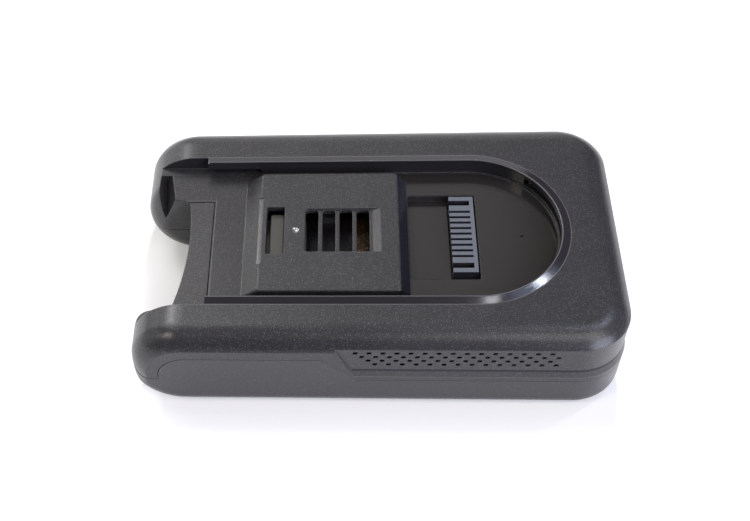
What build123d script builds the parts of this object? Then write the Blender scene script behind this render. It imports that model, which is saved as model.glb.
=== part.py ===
"""Slide-on battery pack of a cordless vacuum cleaner, as separate pieces.

Millimetres, +Z up. The origin is under the middle of the pack, on the surface it
stands on. +X points to the closed, D-shaped end; the tool's foot slides in from -X.
"""
from build123d import *
from math import sqrt
import os

os.makedirs("parts", exist_ok=True)

# Cells
CELL_COUNT = 7
CELL_D = 18.4
CELL_LEN = 65.0
CELL_GAP = 0.2
CELL_CAP_R = 3.2
CELL_CAP_RISE = 0.5
CELL_CRIMP_FROM_END = 3.0
CELL_CRIMP_W = 1.2
CELL_CRIMP_DEPTH = 0.5

# Walls and clearances
WALL = 2.4
SEAM_GAP = 0.2
BAY_CLEAR = 0.5
CLOSED_CLEAR = 1.1
END_STACK = 3.5
SCREW_CHANNEL = 7.8
SEAT_GAP = 0.1

# Board stack above the cells
BOARD_GAP = 1.1
BOARD_T = 1.6
BOARD_EDGE_IN = 5.5
BOARD_CLEAR = 1.1

# Channel for the tool's foot, cut into the top
CHANNEL_DEPTH = 5.35
DECK_T = 2.2
POCKET_DEPTH = 2.85
POCKET_T = 1.8
LIP_HALF_W = 28.3
LIP_T = 3.6
RIM_W = 3.1
RIM_RISE = 0.8
GROOVE_REACH = 3.0
LIP_EDGE_R = 0.45
LIP_END_RAMP = 1.2
GROOVE_FROM_END = 117.4
GROOVE_LEAN = 0.51
WALL_STEP = 0.25
WALL_STEP_BELOW = 0.7
D_CENTRE_FROM_END = 47.45
RAIL_STOP_FROM_END = 28.6
UNDERCUT_REACH = 1.9
UNDERCUT_Z = (1.2, 4.4)

# Outer form
CROWN_R = 9.0
CROWN_OVER = 0.8
CROWN_T = 3.6
PLAN_CORNER_R = 16.3
FLARE = 0.6
SEAM_Z = 14.8
FLAP_RISE = 11.0
FLAP_CORNER_R = 9.8
FLAP_FROM_OPEN = (9.2, 61.5)
FLAP_SLOPE_RUN = 10.9
FOOT_R = 4.8
NOSE_R = 18.0
ARM_INNER_Y = (-26.0, 15.8)
ARM_CORNER_R = (4.5, 8.0)
ARM_VOID_FROM_OPEN = 6.0
ARM_WALL = 5.0
ARM_REACH = 15.0
ARM_VOID_TOP = 3.5
NOTCH_REACH = 21.9
NOTCH_WALL_RISE = 8.2

# Overall sizes that follow
CELL_PITCH = CELL_D + CELL_GAP
LENGTH = NOTCH_REACH + 2 * WALL + BAY_CLEAR + CLOSED_CLEAR + CELL_COUNT * CELL_PITCH
WIDTH = CELL_LEN + 2 * (END_STACK + SCREW_CHANNEL + WALL)
HALF_L = LENGTH / 2
HALF_W = WIDTH / 2
CELL_Z = WALL + BAY_CLEAR + CELL_D / 2
CELL_TOP = CELL_Z + CELL_D / 2
BOARD_Z = CELL_TOP + BOARD_GAP
BOARD_TOP = BOARD_Z + BOARD_T
POCKET_Z = BOARD_TOP + BOARD_CLEAR + POCKET_T
DECK_Z = POCKET_Z + POCKET_DEPTH
DECK_UNDER = DECK_Z - DECK_T
TOP_Z = DECK_Z + CHANNEL_DEPTH
RIM_Z = TOP_Z + RIM_RISE
LIP_Z = RIM_Z - LIP_T
RIM_HALF_W = LIP_HALF_W + RIM_W
GROOVE_HALF_W = LIP_HALF_W + GROOVE_REACH
UNDERCUT_HALF_W = LIP_HALF_W + UNDERCUT_REACH
NOSE_Z = TOP_Z - NOSE_R
NOSE_X = -HALF_L + NOSE_R
HEEL_R = NOSE_Z
FLAP_Z = SEAM_Z + FLAP_RISE
D_X = HALF_L - D_CENTRE_FROM_END
RAIL_STOP_X = HALF_L - RAIL_STOP_FROM_END
NOTCH_X = -HALF_L + NOTCH_REACH
BAY_X = (NOTCH_X + WALL, HALF_L - WALL)
BAY_HALF_W = HALF_W - WALL
BAY_CORNER_R = PLAN_CORNER_R - WALL
LIP_END_X = NOTCH_X
GROOVE_X = HALF_L - GROOVE_FROM_END
ABOVE = 60.0

# Block in the middle of the channel, with the latch window and the vent
BLOCK_RISE = 3.82
BLOCK_SIDE_GAP = 3.2
BLOCK_FROM_END = (71.6, 117.3)
BLOCK_RUN_CLOSED = 3.4
BLOCK_RUN_OPEN = 5.5
BLOCK_CORNER_R = 1.0
BLOCK_EDGE_R = 0.5
BLOCK_STEP = 0.6
BLOCK_STEP_DEPTH = 0.5
BLOCK_STEP_HALF_W = 14.0
BLOCK_TOP_T = 2.2
WINDOW_FROM_END = (109.3, 115.3)
WINDOW_HALF_W = 10.0
WINDOW_CORNER_R = 0.5
VENT_FROM_END = (79.9, 102.5)
VENT_HALF_W = 9.2
VENT_SINK = 0.7
VENT_CORNER_R = 0.9
VENT_RAMP = 2.6
VENT_SLOTS = 4
VENT_SLOT_W = 4.3
VENT_SLOT_PITCH = 5.65
VENT_SLOT_MARGIN = 0.2
VENT_SLOT_CORNER_R = 1.1
POCKET_FROM_END = (45.6, 68.0)
POCKET_HALF_W = 17.75
GATE_FROM_END = 31.1
GATE_R = 0.45
GATE_DEPTH = 0.5
BLOCK_Z = DECK_Z + BLOCK_RISE
BLOCK_HALF_W = LIP_HALF_W - BLOCK_SIDE_GAP
BLOCK_X = (HALF_L - BLOCK_FROM_END[1], HALF_L - BLOCK_FROM_END[0])
WINDOW_X = (HALF_L - WINDOW_FROM_END[1], HALF_L - WINDOW_FROM_END[0])
VENT_X = (HALF_L - VENT_FROM_END[1], HALF_L - VENT_FROM_END[0])
POCKET_X = (HALF_L - POCKET_FROM_END[1], HALF_L - POCKET_FROM_END[0])

# Vented panel along the sides and round the closed end
PANEL_RECESS = 0.6
PANEL_FOOT_RISE = (2.0, 5.4)
PANEL_OPEN_FROM_END = 86.6
PANEL_TOP_OPEN_FROM_END = 92.6
SIDE_VENT_ROWS = (15, 15, 14, 14)
SIDE_VENT_PITCH = 4.3
SIDE_VENT_ROW_DROP = 2.05
SIDE_VENT_SHIFT = 2.05
SIDE_VENT_W = 1.75
SIDE_VENT_H = 1.2
SIDE_VENT_LEAN = 0.45
SIDE_VENT_FROM_END = 86.2
SIDE_VENT_BELOW_TOP = 5.9
SIDE_VENT_DEPTH = 4.0

# Connector
CONNECTOR_FROM_END = (46.2, 54.3)
CONNECTOR_END_GAP = 1.8
CONNECTOR_MID = 0.4
CONNECTOR_RISE = 1.0
CONNECTOR_FIT = 0.25
SIGNAL_COUNT = 9
SIGNAL_PITCH = 2.35
SIGNAL_SLOT_W = 0.95
POWER_REACH = 13.2
POWER_SLOT_W = 2.1
SLOT_DEPTH = 4.6
SPINE_T = 1.3
CONTACT_T = 0.4
POWER_CONTACT_T = 1.0
CONTACT_SINK = 2.0
CONNECTOR_HALF_W = POCKET_HALF_W - CONNECTOR_END_GAP
CONNECTOR_X = (HALF_L - CONNECTOR_FROM_END[1], HALF_L - CONNECTOR_FROM_END[0])
CONNECTOR_TOP = DECK_Z + CONNECTOR_RISE
SLOT_Z = CONNECTOR_TOP - SLOT_DEPTH
SIGNAL_Y = [CONNECTOR_MID + SIGNAL_PITCH * (i - (SIGNAL_COUNT - 1) / 2) for i in range(SIGNAL_COUNT)]
POWER_Y = (CONNECTOR_MID - POWER_REACH, CONNECTOR_MID + POWER_REACH)

# Release lever, its pin and its spring
PLATE_GAP_FROM_OPEN = 24.85
PLATE_GAP = 0.5
PLATE_T = 2.2
PLATE_VERTEX_FROM_OPEN = 17.3
PLATE_EDGE_R = 109.0
PLATE_REAR_Y = 15.4
PLATE_SIDE_GAP = 0.5
LEVER_ARM_HALF_W = 9.0
LEVER_ARM_T = 2.0
LEVER_UNDER_DECK = 0.4
LEVER_TRAVEL = 3.4
LEVER_RELIEF = 1.2
LEVER_RELIEF_FROM_PIVOT = 1.5
PIVOT_FROM_END = 122.8
BARREL_R = 2.4
PIN_R = 1.0
PIN_RUNNING = 0.05
PIN_SEAT = 0.02
LUG_T = 3.0
LUG_GAP = 0.5
TONGUE_OPEN_GAP = 1.3
TONGUE_FIT = 0.3
TONGUE_CORNER_R = 0.8
TONGUE_SINK = 2.6
SPRING_FROM_END = 105.6
SPRING_SEAT_R = 3.4
SPRING_SEAT_DROP = 0.6
SPRING_R = 2.0
SPRING_WIRE_R = 0.25
SPRING_TURNS = 4
DIMPLE_R = 1.1
DIMPLE_DEPTH = 0.5
PLATE_GAP_X = -HALF_L + PLATE_GAP_FROM_OPEN
PLATE_VERTEX_X = -HALF_L + PLATE_VERTEX_FROM_OPEN
PIVOT_X = HALF_L - PIVOT_FROM_END
PIVOT_Z = DECK_UNDER - LEVER_UNDER_DECK - BARREL_R
ARM_TOP_Z = PIVOT_Z + BARREL_R
SPRING_X = HALF_L - SPRING_FROM_END
LUG_Y = LEVER_ARM_HALF_W + LUG_GAP + LUG_T / 2

# Far arm: the deck runs on as a tab, and ends at a notch behind the arm's end
TAB_GAP = 0.4
END_NOTCH_FRONT = (4.0, 6.7, 11.3, 20.5)
END_NOTCH_REAR = (4.6, 6.3, 9.1, 25.5)
END_NOTCH_REAR_Y = 28.0

# Housing screws
SCREW_FROM_END = (17.6, 71.6, 126.6)
SCREW_WALL_GAP = 3.9
SCREW_BOSS_R = 3.2
SCREW_SHANK_R = 1.35
SCREW_HEAD_R = 2.5
SCREW_HEAD_T = 1.8
SCREW_SEAT_Z = 6.0
SCREW_BITE = 8.0
SCREW_FIT = 0.2
SCREW_PLACES = [
    (HALF_L - d, side * (BAY_HALF_W - SCREW_WALL_GAP)) for d in SCREW_FROM_END for side in (-1, 1)
]

# Cell holders, strips and board
HOLDER_REACH = 9.0
HOLDER_FIT = 0.05
HOLDER_TOP_GAP = 0.2
HOLDER_WINDOW_H = 8.0
FLANGE_T = 1.0
FLANGE_GAP = 0.05
FLANGE_HOLE_R = 7.2
STRIP_T = 0.3
STRIP_HALF_H = 4.0
STRIP_END = 5.0
STRIP_DISC_R = 4.2
STRIP_TAB_W = 4.0
STRIP_GAP = 0.05
SHEET_T = 0.4
SHEET_GAP = 0.15
PAPER_T = 0.3
BOARD_OVERHANG = 7.0
BOARD_SCREW_R = 0.9
BOARD_SCREW_HEAD_R = 1.9
BOARD_SCREW_HEAD_T = 1.3
BOARD_SCREW_LEN = 5.0
BOARD_SCREW_IN = 2.0
BOARD_HALF_W = CELL_LEN / 2 - BOARD_EDGE_IN
BOARD_SCREW_Y = BOARD_HALF_W - BOARD_SCREW_IN


def cell_x(index):
    """Axis of a cell, counted from the closed end."""
    return HALF_L - WALL - CLOSED_CLEAR - CELL_PITCH * (index + 0.5)


def valley_x(index):
    """The line between cell index - 1 and cell index."""
    return HALF_L - WALL - CLOSED_CLEAR - CELL_PITCH * index


# The board reaches over the last gap between cells that leaves room for the lever's barrel
BARREL_CLEAR_X = PIVOT_X + BARREL_R + BOARD_CLEAR + BOARD_OVERHANG
BOARD_VALLEY = max(k for k in range(1, CELL_COUNT) if valley_x(k) > BARREL_CLEAR_X)
BOARD_X = (valley_x(BOARD_VALLEY) - BOARD_OVERHANG, valley_x(1) + BOARD_OVERHANG)
BOARD_SCREWS = [(valley_x(k), side * BOARD_SCREW_Y) for k in (1, BOARD_VALLEY) for side in (-1, 1)]


def rectangle_between(low, high):
    """A flat rectangle between two opposite corners."""
    with BuildSketch() as sheet:
        with Locations(((low[0] + high[0]) / 2, (low[1] + high[1]) / 2)):
            Rectangle(high[0] - low[0], high[1] - low[1])
    return sheet.sketch


def flare(x):
    """How much wider each side of the pack is at x than at its open end."""
    return FLARE * (x + HALF_L) / LENGTH


def plan_outline(half_w, open_x, closed_x, corner_r):
    """Plan of the pack: square at the open end, flaring a little to its rounded closed end."""
    open_w = half_w + flare(open_x)
    closed_w = half_w + flare(closed_x)
    with BuildSketch() as plan:
        with BuildLine():
            FilletPolyline(
                (open_x, -open_w),
                (closed_x, -closed_w),
                (closed_x, closed_w),
                (open_x, open_w),
                radius=corner_r,
            )
            Line((open_x, open_w), (open_x, -open_w))
        make_face()
    return plan.sketch


def d_outline(half_w, open_x, centre_x=D_X):
    """Straight sides from open_x, closed by a half circle about centre_x."""
    with BuildSketch() as outline:
        with BuildLine():
            Line((centre_x, half_w), (open_x, half_w))
            Line((open_x, half_w), (open_x, -half_w))
            Line((open_x, -half_w), (centre_x, -half_w))
            ThreePointArc((centre_x, -half_w), (centre_x + half_w, 0), (centre_x, half_w))
        make_face()
    return outline.sketch


def flap_outline(gap):
    """Side view of the lower housing's flap, grown by a gap, from below the seam."""
    left = -HALF_L + FLAP_FROM_OPEN[0] - gap
    right = -HALF_L + FLAP_FROM_OPEN[1]
    top = FLAP_Z + gap
    slope_foot = right + FLAP_SLOPE_RUN + gap
    with BuildSketch() as outline:
        with BuildLine():
            Line((left, SEAM_Z - WALL), (left, top - FLAP_CORNER_R))
            RadiusArc((left, top - FLAP_CORNER_R), (left + FLAP_CORNER_R, top), FLAP_CORNER_R)
            Line((left + FLAP_CORNER_R, top), (right + gap, top))
            Line((right + gap, top), (slope_foot, SEAM_Z))
            Line((slope_foot, SEAM_Z), (slope_foot, SEAM_Z - WALL))
            Line((slope_foot, SEAM_Z - WALL), (left, SEAM_Z - WALL))
        make_face()
    return outline.sketch


def end_notch(places):
    """Side view of the notch behind the far arm's end: end face, foot, deck's edge, foot's height."""
    with BuildSketch() as outline:
        with BuildLine():
            Polyline(
                (-HALF_L + places[0], DECK_Z + 1),
                (-HALF_L + places[1], places[3]),
                (-HALF_L + places[2], DECK_Z),
                (-HALF_L + places[2], DECK_Z + 1),
                close=True,
            )
        make_face()
    return outline.sketch


def finish(part, name):
    """Label a finished piece and write it out."""
    part.label = name
    export_step(part, "parts/" + name + ".step")


# Upper housing
# A block with the side view of the pack is rounded over along its top edge by the
# crown radius, and then cut to the true plan, which leaves the sharp crease.
with BuildPart() as upper_housing:
    with BuildSketch(Plane.XZ):
        with BuildLine():
            Line((HALF_L + CROWN_OVER, SEAM_Z), (HALF_L + CROWN_OVER, TOP_Z))
            Line((HALF_L + CROWN_OVER, TOP_Z), (NOSE_X, TOP_Z))
            nose_foot = (-HALF_L, NOSE_Z)
            RadiusArc((NOSE_X, TOP_Z), nose_foot, -NOSE_R)
            seam_end = (-HALF_L + HEEL_R - sqrt(HEEL_R**2 - (HEEL_R - SEAM_Z) ** 2), SEAM_Z)
            RadiusArc(nose_foot, seam_end, -HEEL_R)
            Line(seam_end, (HALF_L + CROWN_OVER, SEAM_Z))
        make_face()
    extrude(amount=HALF_W + FLARE + CROWN_OVER + 1, both=True)
    with BuildSketch(Plane.XY.offset(SEAM_Z)):
        add(plan_outline(HALF_W + CROWN_OVER, -HALF_L, HALF_L + CROWN_OVER, PLAN_CORNER_R + CROWN_OVER))
    extrude(amount=ABOVE, mode=Mode.INTERSECT)
    top_face = upper_housing.faces().filter_by(Axis.Z).sort_by(Axis.Z)[-1]
    crown_edges = [e for e in top_face.edges() if e.center().X > NOSE_X + CROWN_OVER]
    crown_edges += [
        e for e in upper_housing.edges().filter_by(GeomType.LINE, reverse=True)
        if abs(e.center().Y) > HALF_W / 2 and e.center().X < NOSE_X
    ]
    fillet(crown_edges, CROWN_R)
    with BuildSketch(Plane.XY.offset(SEAM_Z)):
        add(plan_outline(HALF_W, -HALF_L - CROWN_OVER, HALF_L, PLAN_CORNER_R))
    extrude(amount=ABOVE, mode=Mode.INTERSECT)

    # Gap between the arms, its corners rounded over at the arms' ends
    with BuildSketch(Plane.XY):
        add(rectangle_between((-HALF_L - CROWN_OVER, ARM_INNER_Y[0]), (-HALF_L + ARM_REACH, ARM_INNER_Y[1])))
    extrude(amount=ABOVE, mode=Mode.SUBTRACT)
    for inner_y, corner_r in zip(ARM_INNER_Y, ARM_CORNER_R):
        ends = upper_housing.edges().filter_by(GeomType.CIRCLE)
        fillet([e for e in ends if abs(e.center().Y - inner_y) < SEAM_GAP], corner_r)

    # Raised rim, sloping up to the lip
    with BuildSketch(Plane.XY.offset(TOP_Z)):
        add(d_outline(RIM_HALF_W, LIP_END_X))
    with BuildSketch(Plane.XY.offset(RIM_Z)):
        add(d_outline(LIP_HALF_W, LIP_END_X + LIP_END_RAMP))
    loft(ruled=True)

    # Sunk panel round the closed end, its foot sloping out to the full width
    with BuildSketch(Plane.XY.offset(SEAM_Z + PANEL_FOOT_RISE[0])):
        add(plan_outline(HALF_W + 0.01, -HALF_L, HALF_L + 0.01, PLAN_CORNER_R))
    with BuildSketch(Plane.XY.offset(SEAM_Z + PANEL_FOOT_RISE[1])):
        add(plan_outline(HALF_W - PANEL_RECESS, -HALF_L, HALF_L - PANEL_RECESS, PLAN_CORNER_R))
    panel_foot = loft(ruled=True, mode=Mode.PRIVATE)
    with BuildSketch(Plane.XY.offset(SEAM_Z + PANEL_FOOT_RISE[1])):
        add(plan_outline(HALF_W - PANEL_RECESS, -HALF_L, HALF_L - PANEL_RECESS, PLAN_CORNER_R))
    panel_core = extrude(amount=ABOVE, mode=Mode.PRIVATE)
    with BuildSketch(Plane.XZ):
        with BuildLine():
            Polyline(
                (HALF_L - PANEL_OPEN_FROM_END, SEAM_Z + PANEL_FOOT_RISE[0]),
                (HALF_L + ABOVE, SEAM_Z + PANEL_FOOT_RISE[0]),
                (HALF_L + ABOVE, TOP_Z - CROWN_T),
                (HALF_L - PANEL_TOP_OPEN_FROM_END, TOP_Z - CROWN_T),
                close=True,
            )
        make_face()
    panel_zone = extrude(amount=HALF_W + ABOVE, both=True, mode=Mode.PRIVATE)
    add(panel_zone - panel_core - panel_foot, mode=Mode.SUBTRACT)

    # Channel for the tool's foot, with a groove under each lip at the open end.
    # The groove ends at a leaning face, beyond which the wall stands back a little.
    with BuildSketch(Plane.XY.offset(DECK_Z)):
        add(d_outline(LIP_HALF_W, -HALF_L - CROWN_OVER))
    extrude(amount=ABOVE, mode=Mode.SUBTRACT)
    fillet([e for e in upper_housing.edges() if e.center().Z > RIM_Z - LIP_EDGE_R / 4], LIP_EDGE_R)
    with BuildSketch(Plane.XZ):
        with BuildLine():
            groove_end_x = GROOVE_X - GROOVE_LEAN * (LIP_Z - DECK_Z)
            Polyline(
                (-HALF_L - CROWN_OVER, DECK_Z),
                (GROOVE_X, DECK_Z),
                (groove_end_x, LIP_Z),
                (-HALF_L - CROWN_OVER, LIP_Z),
                close=True,
            )
        make_face()
    extrude(amount=GROOVE_HALF_W, both=True, mode=Mode.SUBTRACT)
    with BuildSketch(Plane.XZ):
        with BuildLine():
            step_top = RIM_Z - WALL_STEP_BELOW
            Polyline(
                (GROOVE_X, DECK_Z),
                (RAIL_STOP_X, DECK_Z),
                (RAIL_STOP_X, step_top),
                (GROOVE_X - GROOVE_LEAN * (step_top - DECK_Z), step_top),
                close=True,
            )
        make_face()
    step_zone = extrude(amount=LIP_HALF_W + WALL_STEP, both=True, mode=Mode.PRIVATE)
    with BuildSketch(Plane.XY.offset(DECK_Z)):
        add(d_outline(LIP_HALF_W + WALL_STEP, -HALF_L))
    step_plan = extrude(amount=ABOVE, mode=Mode.PRIVATE)
    add(step_zone & step_plan, mode=Mode.SUBTRACT)
    with BuildSketch(Plane.XY.offset(DECK_Z + UNDERCUT_Z[0])):
        add(d_outline(UNDERCUT_HALF_W, D_X - UNDERCUT_HALF_W))
        add(rectangle_between((D_X - 2 * HALF_W, -HALF_W), (RAIL_STOP_X, HALF_W)), mode=Mode.SUBTRACT)
    extrude(amount=UNDERCUT_Z[1] - UNDERCUT_Z[0], mode=Mode.SUBTRACT)
    with BuildSketch(Plane.XY.offset(DECK_Z)):
        add(rectangle_between((-HALF_L - CROWN_OVER, -GROOVE_HALF_W), (LIP_END_X, GROOVE_HALF_W)))
    extrude(amount=ABOVE, mode=Mode.SUBTRACT)

    # Rooms inside: cell bay, arms, the space under the crown and under the vent
    with BuildSketch(Plane.XY.offset(SEAM_Z)):
        add(plan_outline(BAY_HALF_W, BAY_X[0], BAY_X[1], BAY_CORNER_R))
    extrude(amount=DECK_UNDER - SEAM_Z, mode=Mode.SUBTRACT)
    with BuildSketch(Plane.XY.offset(SEAM_Z)):
        void_x = -HALF_L + ARM_VOID_FROM_OPEN
        add(rectangle_between((void_x, -BAY_HALF_W), (BAY_X[0], ARM_INNER_Y[0] - WALL)))
        add(rectangle_between((void_x, ARM_INNER_Y[1] + WALL), (BAY_X[0], BAY_HALF_W)))
    extrude(amount=ARM_VOID_TOP, mode=Mode.SUBTRACT)
    with BuildSketch(Plane.XY.offset(SEAM_Z)):
        add(plan_outline(HALF_W - CROWN_T, NOSE_X - CROWN_T, HALF_L - CROWN_T, PLAN_CORNER_R - CROWN_T))
        add(d_outline(GROOVE_HALF_W + WALL, -HALF_L), mode=Mode.SUBTRACT)
    extrude(amount=TOP_Z - CROWN_T - SEAM_Z, mode=Mode.SUBTRACT)

    # Notch between the arms, open from below up to the lever's plate
    with BuildSketch(Plane.XY.offset(SEAM_Z)):
        add(rectangle_between((-HALF_L - CROWN_OVER, ARM_INNER_Y[0]), (BAY_X[0], ARM_INNER_Y[1])))
    extrude(amount=DECK_UNDER - SEAM_Z, mode=Mode.SUBTRACT)
    with BuildSketch(Plane.XY.offset(DECK_Z - PLATE_T - LEVER_TRAVEL)):
        add(rectangle_between((-HALF_L - CROWN_OVER, -GROOVE_HALF_W), (PLATE_GAP_X, PLATE_REAR_Y + TAB_GAP)))
    extrude(amount=ABOVE, mode=Mode.SUBTRACT)

    # Notch between the far arm's deck and its end, narrower at the rear
    with BuildSketch(Plane(origin=(0, PLATE_REAR_Y, 0), x_dir=(1, 0, 0), z_dir=(0, -1, 0))):
        add(end_notch(END_NOTCH_FRONT))
    with BuildSketch(Plane(origin=(0, END_NOTCH_REAR_Y, 0), x_dir=(1, 0, 0), z_dir=(0, -1, 0))):
        add(end_notch(END_NOTCH_REAR))
    loft(ruled=True, mode=Mode.SUBTRACT)

    # Raised block in the channel, its corners and its upper edges rounded
    with BuildPart(mode=Mode.PRIVATE) as block:
        with BuildSketch(Plane.XZ):
            with BuildLine():
                Polyline(
                    (BLOCK_X[0] - BLOCK_RUN_OPEN, DECK_Z),
                    (BLOCK_X[0], BLOCK_Z),
                    (BLOCK_X[1], BLOCK_Z),
                    (BLOCK_X[1] + BLOCK_RUN_CLOSED, DECK_Z),
                    close=True,
                )
            make_face()
        extrude(amount=BLOCK_HALF_W, both=True)
        corners = [e for e in block.edges() if DECK_Z + 1 < e.center().Z < BLOCK_Z - 1]
        fillet(corners, BLOCK_CORNER_R)
        fillet(block.faces().sort_by(Axis.Z)[-1].edges(), BLOCK_EDGE_R)
    add(block.part)
    with BuildSketch(Plane.XY.offset(DECK_UNDER)):
        add(
            rectangle_between(
                (BLOCK_X[0] + BLOCK_TOP_T, -BLOCK_HALF_W + BLOCK_TOP_T),
                (BLOCK_X[1] - BLOCK_TOP_T, BLOCK_HALF_W - BLOCK_TOP_T),
            )
        )
    extrude(amount=BLOCK_Z - BLOCK_TOP_T - DECK_UNDER, mode=Mode.SUBTRACT)

    # The middle of the block's open edge stands back by a shallow step
    with BuildSketch(Plane.XZ):
        with BuildLine():
            Polyline(
                (BLOCK_X[0] - BLOCK_RUN_OPEN, BLOCK_Z + 1),
                (BLOCK_X[0] - BLOCK_STEP_DEPTH * BLOCK_RUN_OPEN / BLOCK_RISE, BLOCK_Z - BLOCK_STEP_DEPTH),
                (BLOCK_X[0] + BLOCK_STEP, BLOCK_Z - BLOCK_STEP_DEPTH / 2),
                (BLOCK_X[0] + BLOCK_STEP, BLOCK_Z + 1),
                close=True,
            )
        make_face()
    extrude(amount=BLOCK_STEP_HALF_W, both=True, mode=Mode.SUBTRACT)

    # Relief for the lever's arm, which rises under the block's open slope
    with BuildSketch(Plane.XY.offset(DECK_UNDER)):
        add(
            rectangle_between(
                (PIVOT_X + LEVER_RELIEF_FROM_PIVOT, -LEVER_ARM_HALF_W - LUG_GAP),
                (BLOCK_X[0] + BLOCK_TOP_T, LEVER_ARM_HALF_W + LUG_GAP),
            )
        )
    extrude(amount=LEVER_RELIEF, mode=Mode.SUBTRACT)

    # Tub of the connector pocket, its floor cut for the connector
    with BuildSketch(Plane.XY.offset(POCKET_Z - POCKET_T)):
        add(
            rectangle_between(
                (POCKET_X[0] - POCKET_T, -POCKET_HALF_W - POCKET_T),
                (POCKET_X[1] + POCKET_T, POCKET_HALF_W + POCKET_T),
            )
        )
    extrude(amount=DECK_UNDER - POCKET_Z + POCKET_T)
    with BuildSketch(Plane.XY.offset(POCKET_Z)):
        add(rectangle_between((POCKET_X[0], -POCKET_HALF_W), (POCKET_X[1], POCKET_HALF_W)))
    extrude(amount=DECK_Z - POCKET_Z, mode=Mode.SUBTRACT)
    with BuildSketch(Plane.XY.offset(BOARD_TOP)):
        add(
            rectangle_between(
                (CONNECTOR_X[0] - CONNECTOR_FIT, CONNECTOR_MID - CONNECTOR_HALF_W - CONNECTOR_FIT),
                (CONNECTOR_X[1] + CONNECTOR_FIT, CONNECTOR_MID + CONNECTOR_HALF_W + CONNECTOR_FIT),
            )
        )
    extrude(amount=DECK_Z - BOARD_TOP, mode=Mode.SUBTRACT)

    # Latch window, vent and its slots, spring dimple and gate mark
    with BuildSketch(Plane.XY.offset(DECK_UNDER)):
        with Locations(((WINDOW_X[0] + WINDOW_X[1]) / 2, 0)):
            RectangleRounded(WINDOW_X[1] - WINDOW_X[0], 2 * WINDOW_HALF_W, WINDOW_CORNER_R)
    extrude(amount=ABOVE, mode=Mode.SUBTRACT)
    with BuildSketch(Plane.XY.offset(BLOCK_Z - VENT_SINK)):
        with Locations(((VENT_X[0] + VENT_X[1]) / 2, 0)):
            RectangleRounded(VENT_X[1] - VENT_X[0], 2 * VENT_HALF_W, VENT_CORNER_R)
    extrude(amount=ABOVE, mode=Mode.SUBTRACT)
    with BuildSketch(Plane.XZ):
        with BuildLine():
            Polyline(
                (VENT_X[1] - VENT_SINK, BLOCK_Z - VENT_SINK),
                (VENT_X[1] + VENT_RAMP, BLOCK_Z),
                (VENT_X[1] + VENT_RAMP, BLOCK_Z + 1),
                (VENT_X[1] - VENT_SINK, BLOCK_Z + 1),
                close=True,
            )
        make_face()
    extrude(amount=VENT_HALF_W, both=True, mode=Mode.SUBTRACT)
    with BuildSketch(Plane.XY.offset(DECK_UNDER)):
        for i in range(VENT_SLOTS):
            slot_x = VENT_X[0] + VENT_SLOT_MARGIN + VENT_SLOT_W / 2 + i * VENT_SLOT_PITCH
            with Locations((slot_x, 0)):
                RectangleRounded(VENT_SLOT_W, 2 * (VENT_HALF_W - VENT_SLOT_MARGIN), VENT_SLOT_CORNER_R)
    extrude(amount=ABOVE, mode=Mode.SUBTRACT)
    with BuildSketch(Plane.XY.offset(BLOCK_Z - BLOCK_TOP_T - SPRING_SEAT_DROP)):
        with Locations((SPRING_X, 0)):
            RegularPolygon(SPRING_SEAT_R, 16)
    extrude(amount=SPRING_SEAT_DROP)
    dimple_ball_r = (DIMPLE_R**2 + DIMPLE_DEPTH**2) / (2 * DIMPLE_DEPTH)
    with Locations((SPRING_X, 0, BLOCK_Z - DIMPLE_DEPTH + dimple_ball_r)):
        Sphere(dimple_ball_r, mode=Mode.SUBTRACT)
    with BuildSketch(Plane.XY.offset(DECK_Z - GATE_DEPTH)):
        with Locations((HALF_L - GATE_FROM_END, 0)):
            RegularPolygon(GATE_R, 12)
    extrude(amount=ABOVE, mode=Mode.SUBTRACT)

    # Opening for the lower housing's flaps
    with BuildSketch(Plane.XZ):
        add(flap_outline(SEAM_GAP))
    flap_zone = extrude(amount=HALF_W + CROWN_OVER, both=True, mode=Mode.PRIVATE)
    with BuildSketch(Plane.XZ):
        add(flap_outline(2 * SEAM_GAP))
    flap_core = extrude(amount=BAY_HALF_W - SEAM_GAP, both=True, mode=Mode.PRIVATE)
    add(flap_zone - flap_core, mode=Mode.SUBTRACT)

    # Side vents, in staggered rows
    with BuildSketch(Plane.XZ):
        for row, count in enumerate(SIDE_VENT_ROWS):
            first_x = HALF_L - SIDE_VENT_FROM_END + row * SIDE_VENT_SHIFT
            z = TOP_Z - SIDE_VENT_BELOW_TOP - row * SIDE_VENT_ROW_DROP
            with Locations(*[(first_x + i * SIDE_VENT_PITCH, z) for i in range(count)]):
                Polygon(
                    (-SIDE_VENT_W / 2, 0),
                    (-SIDE_VENT_LEAN, SIDE_VENT_H / 2),
                    (SIDE_VENT_W / 2 - 0.2, SIDE_VENT_H / 2),
                    (SIDE_VENT_W / 2, 0),
                    (SIDE_VENT_LEAN, -SIDE_VENT_H / 2),
                    (-SIDE_VENT_W / 2 + 0.2, -SIDE_VENT_H / 2),
                )
    vent_pins = extrude(amount=HALF_W + CROWN_OVER, both=True, mode=Mode.PRIVATE)
    with BuildSketch(Plane.XZ):
        add(rectangle_between((-HALF_L, 0), (HALF_L, ABOVE)))
    vent_core = extrude(amount=HALF_W - SIDE_VENT_DEPTH, both=True, mode=Mode.PRIVATE)
    add(vent_pins - vent_core, mode=Mode.SUBTRACT)

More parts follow.
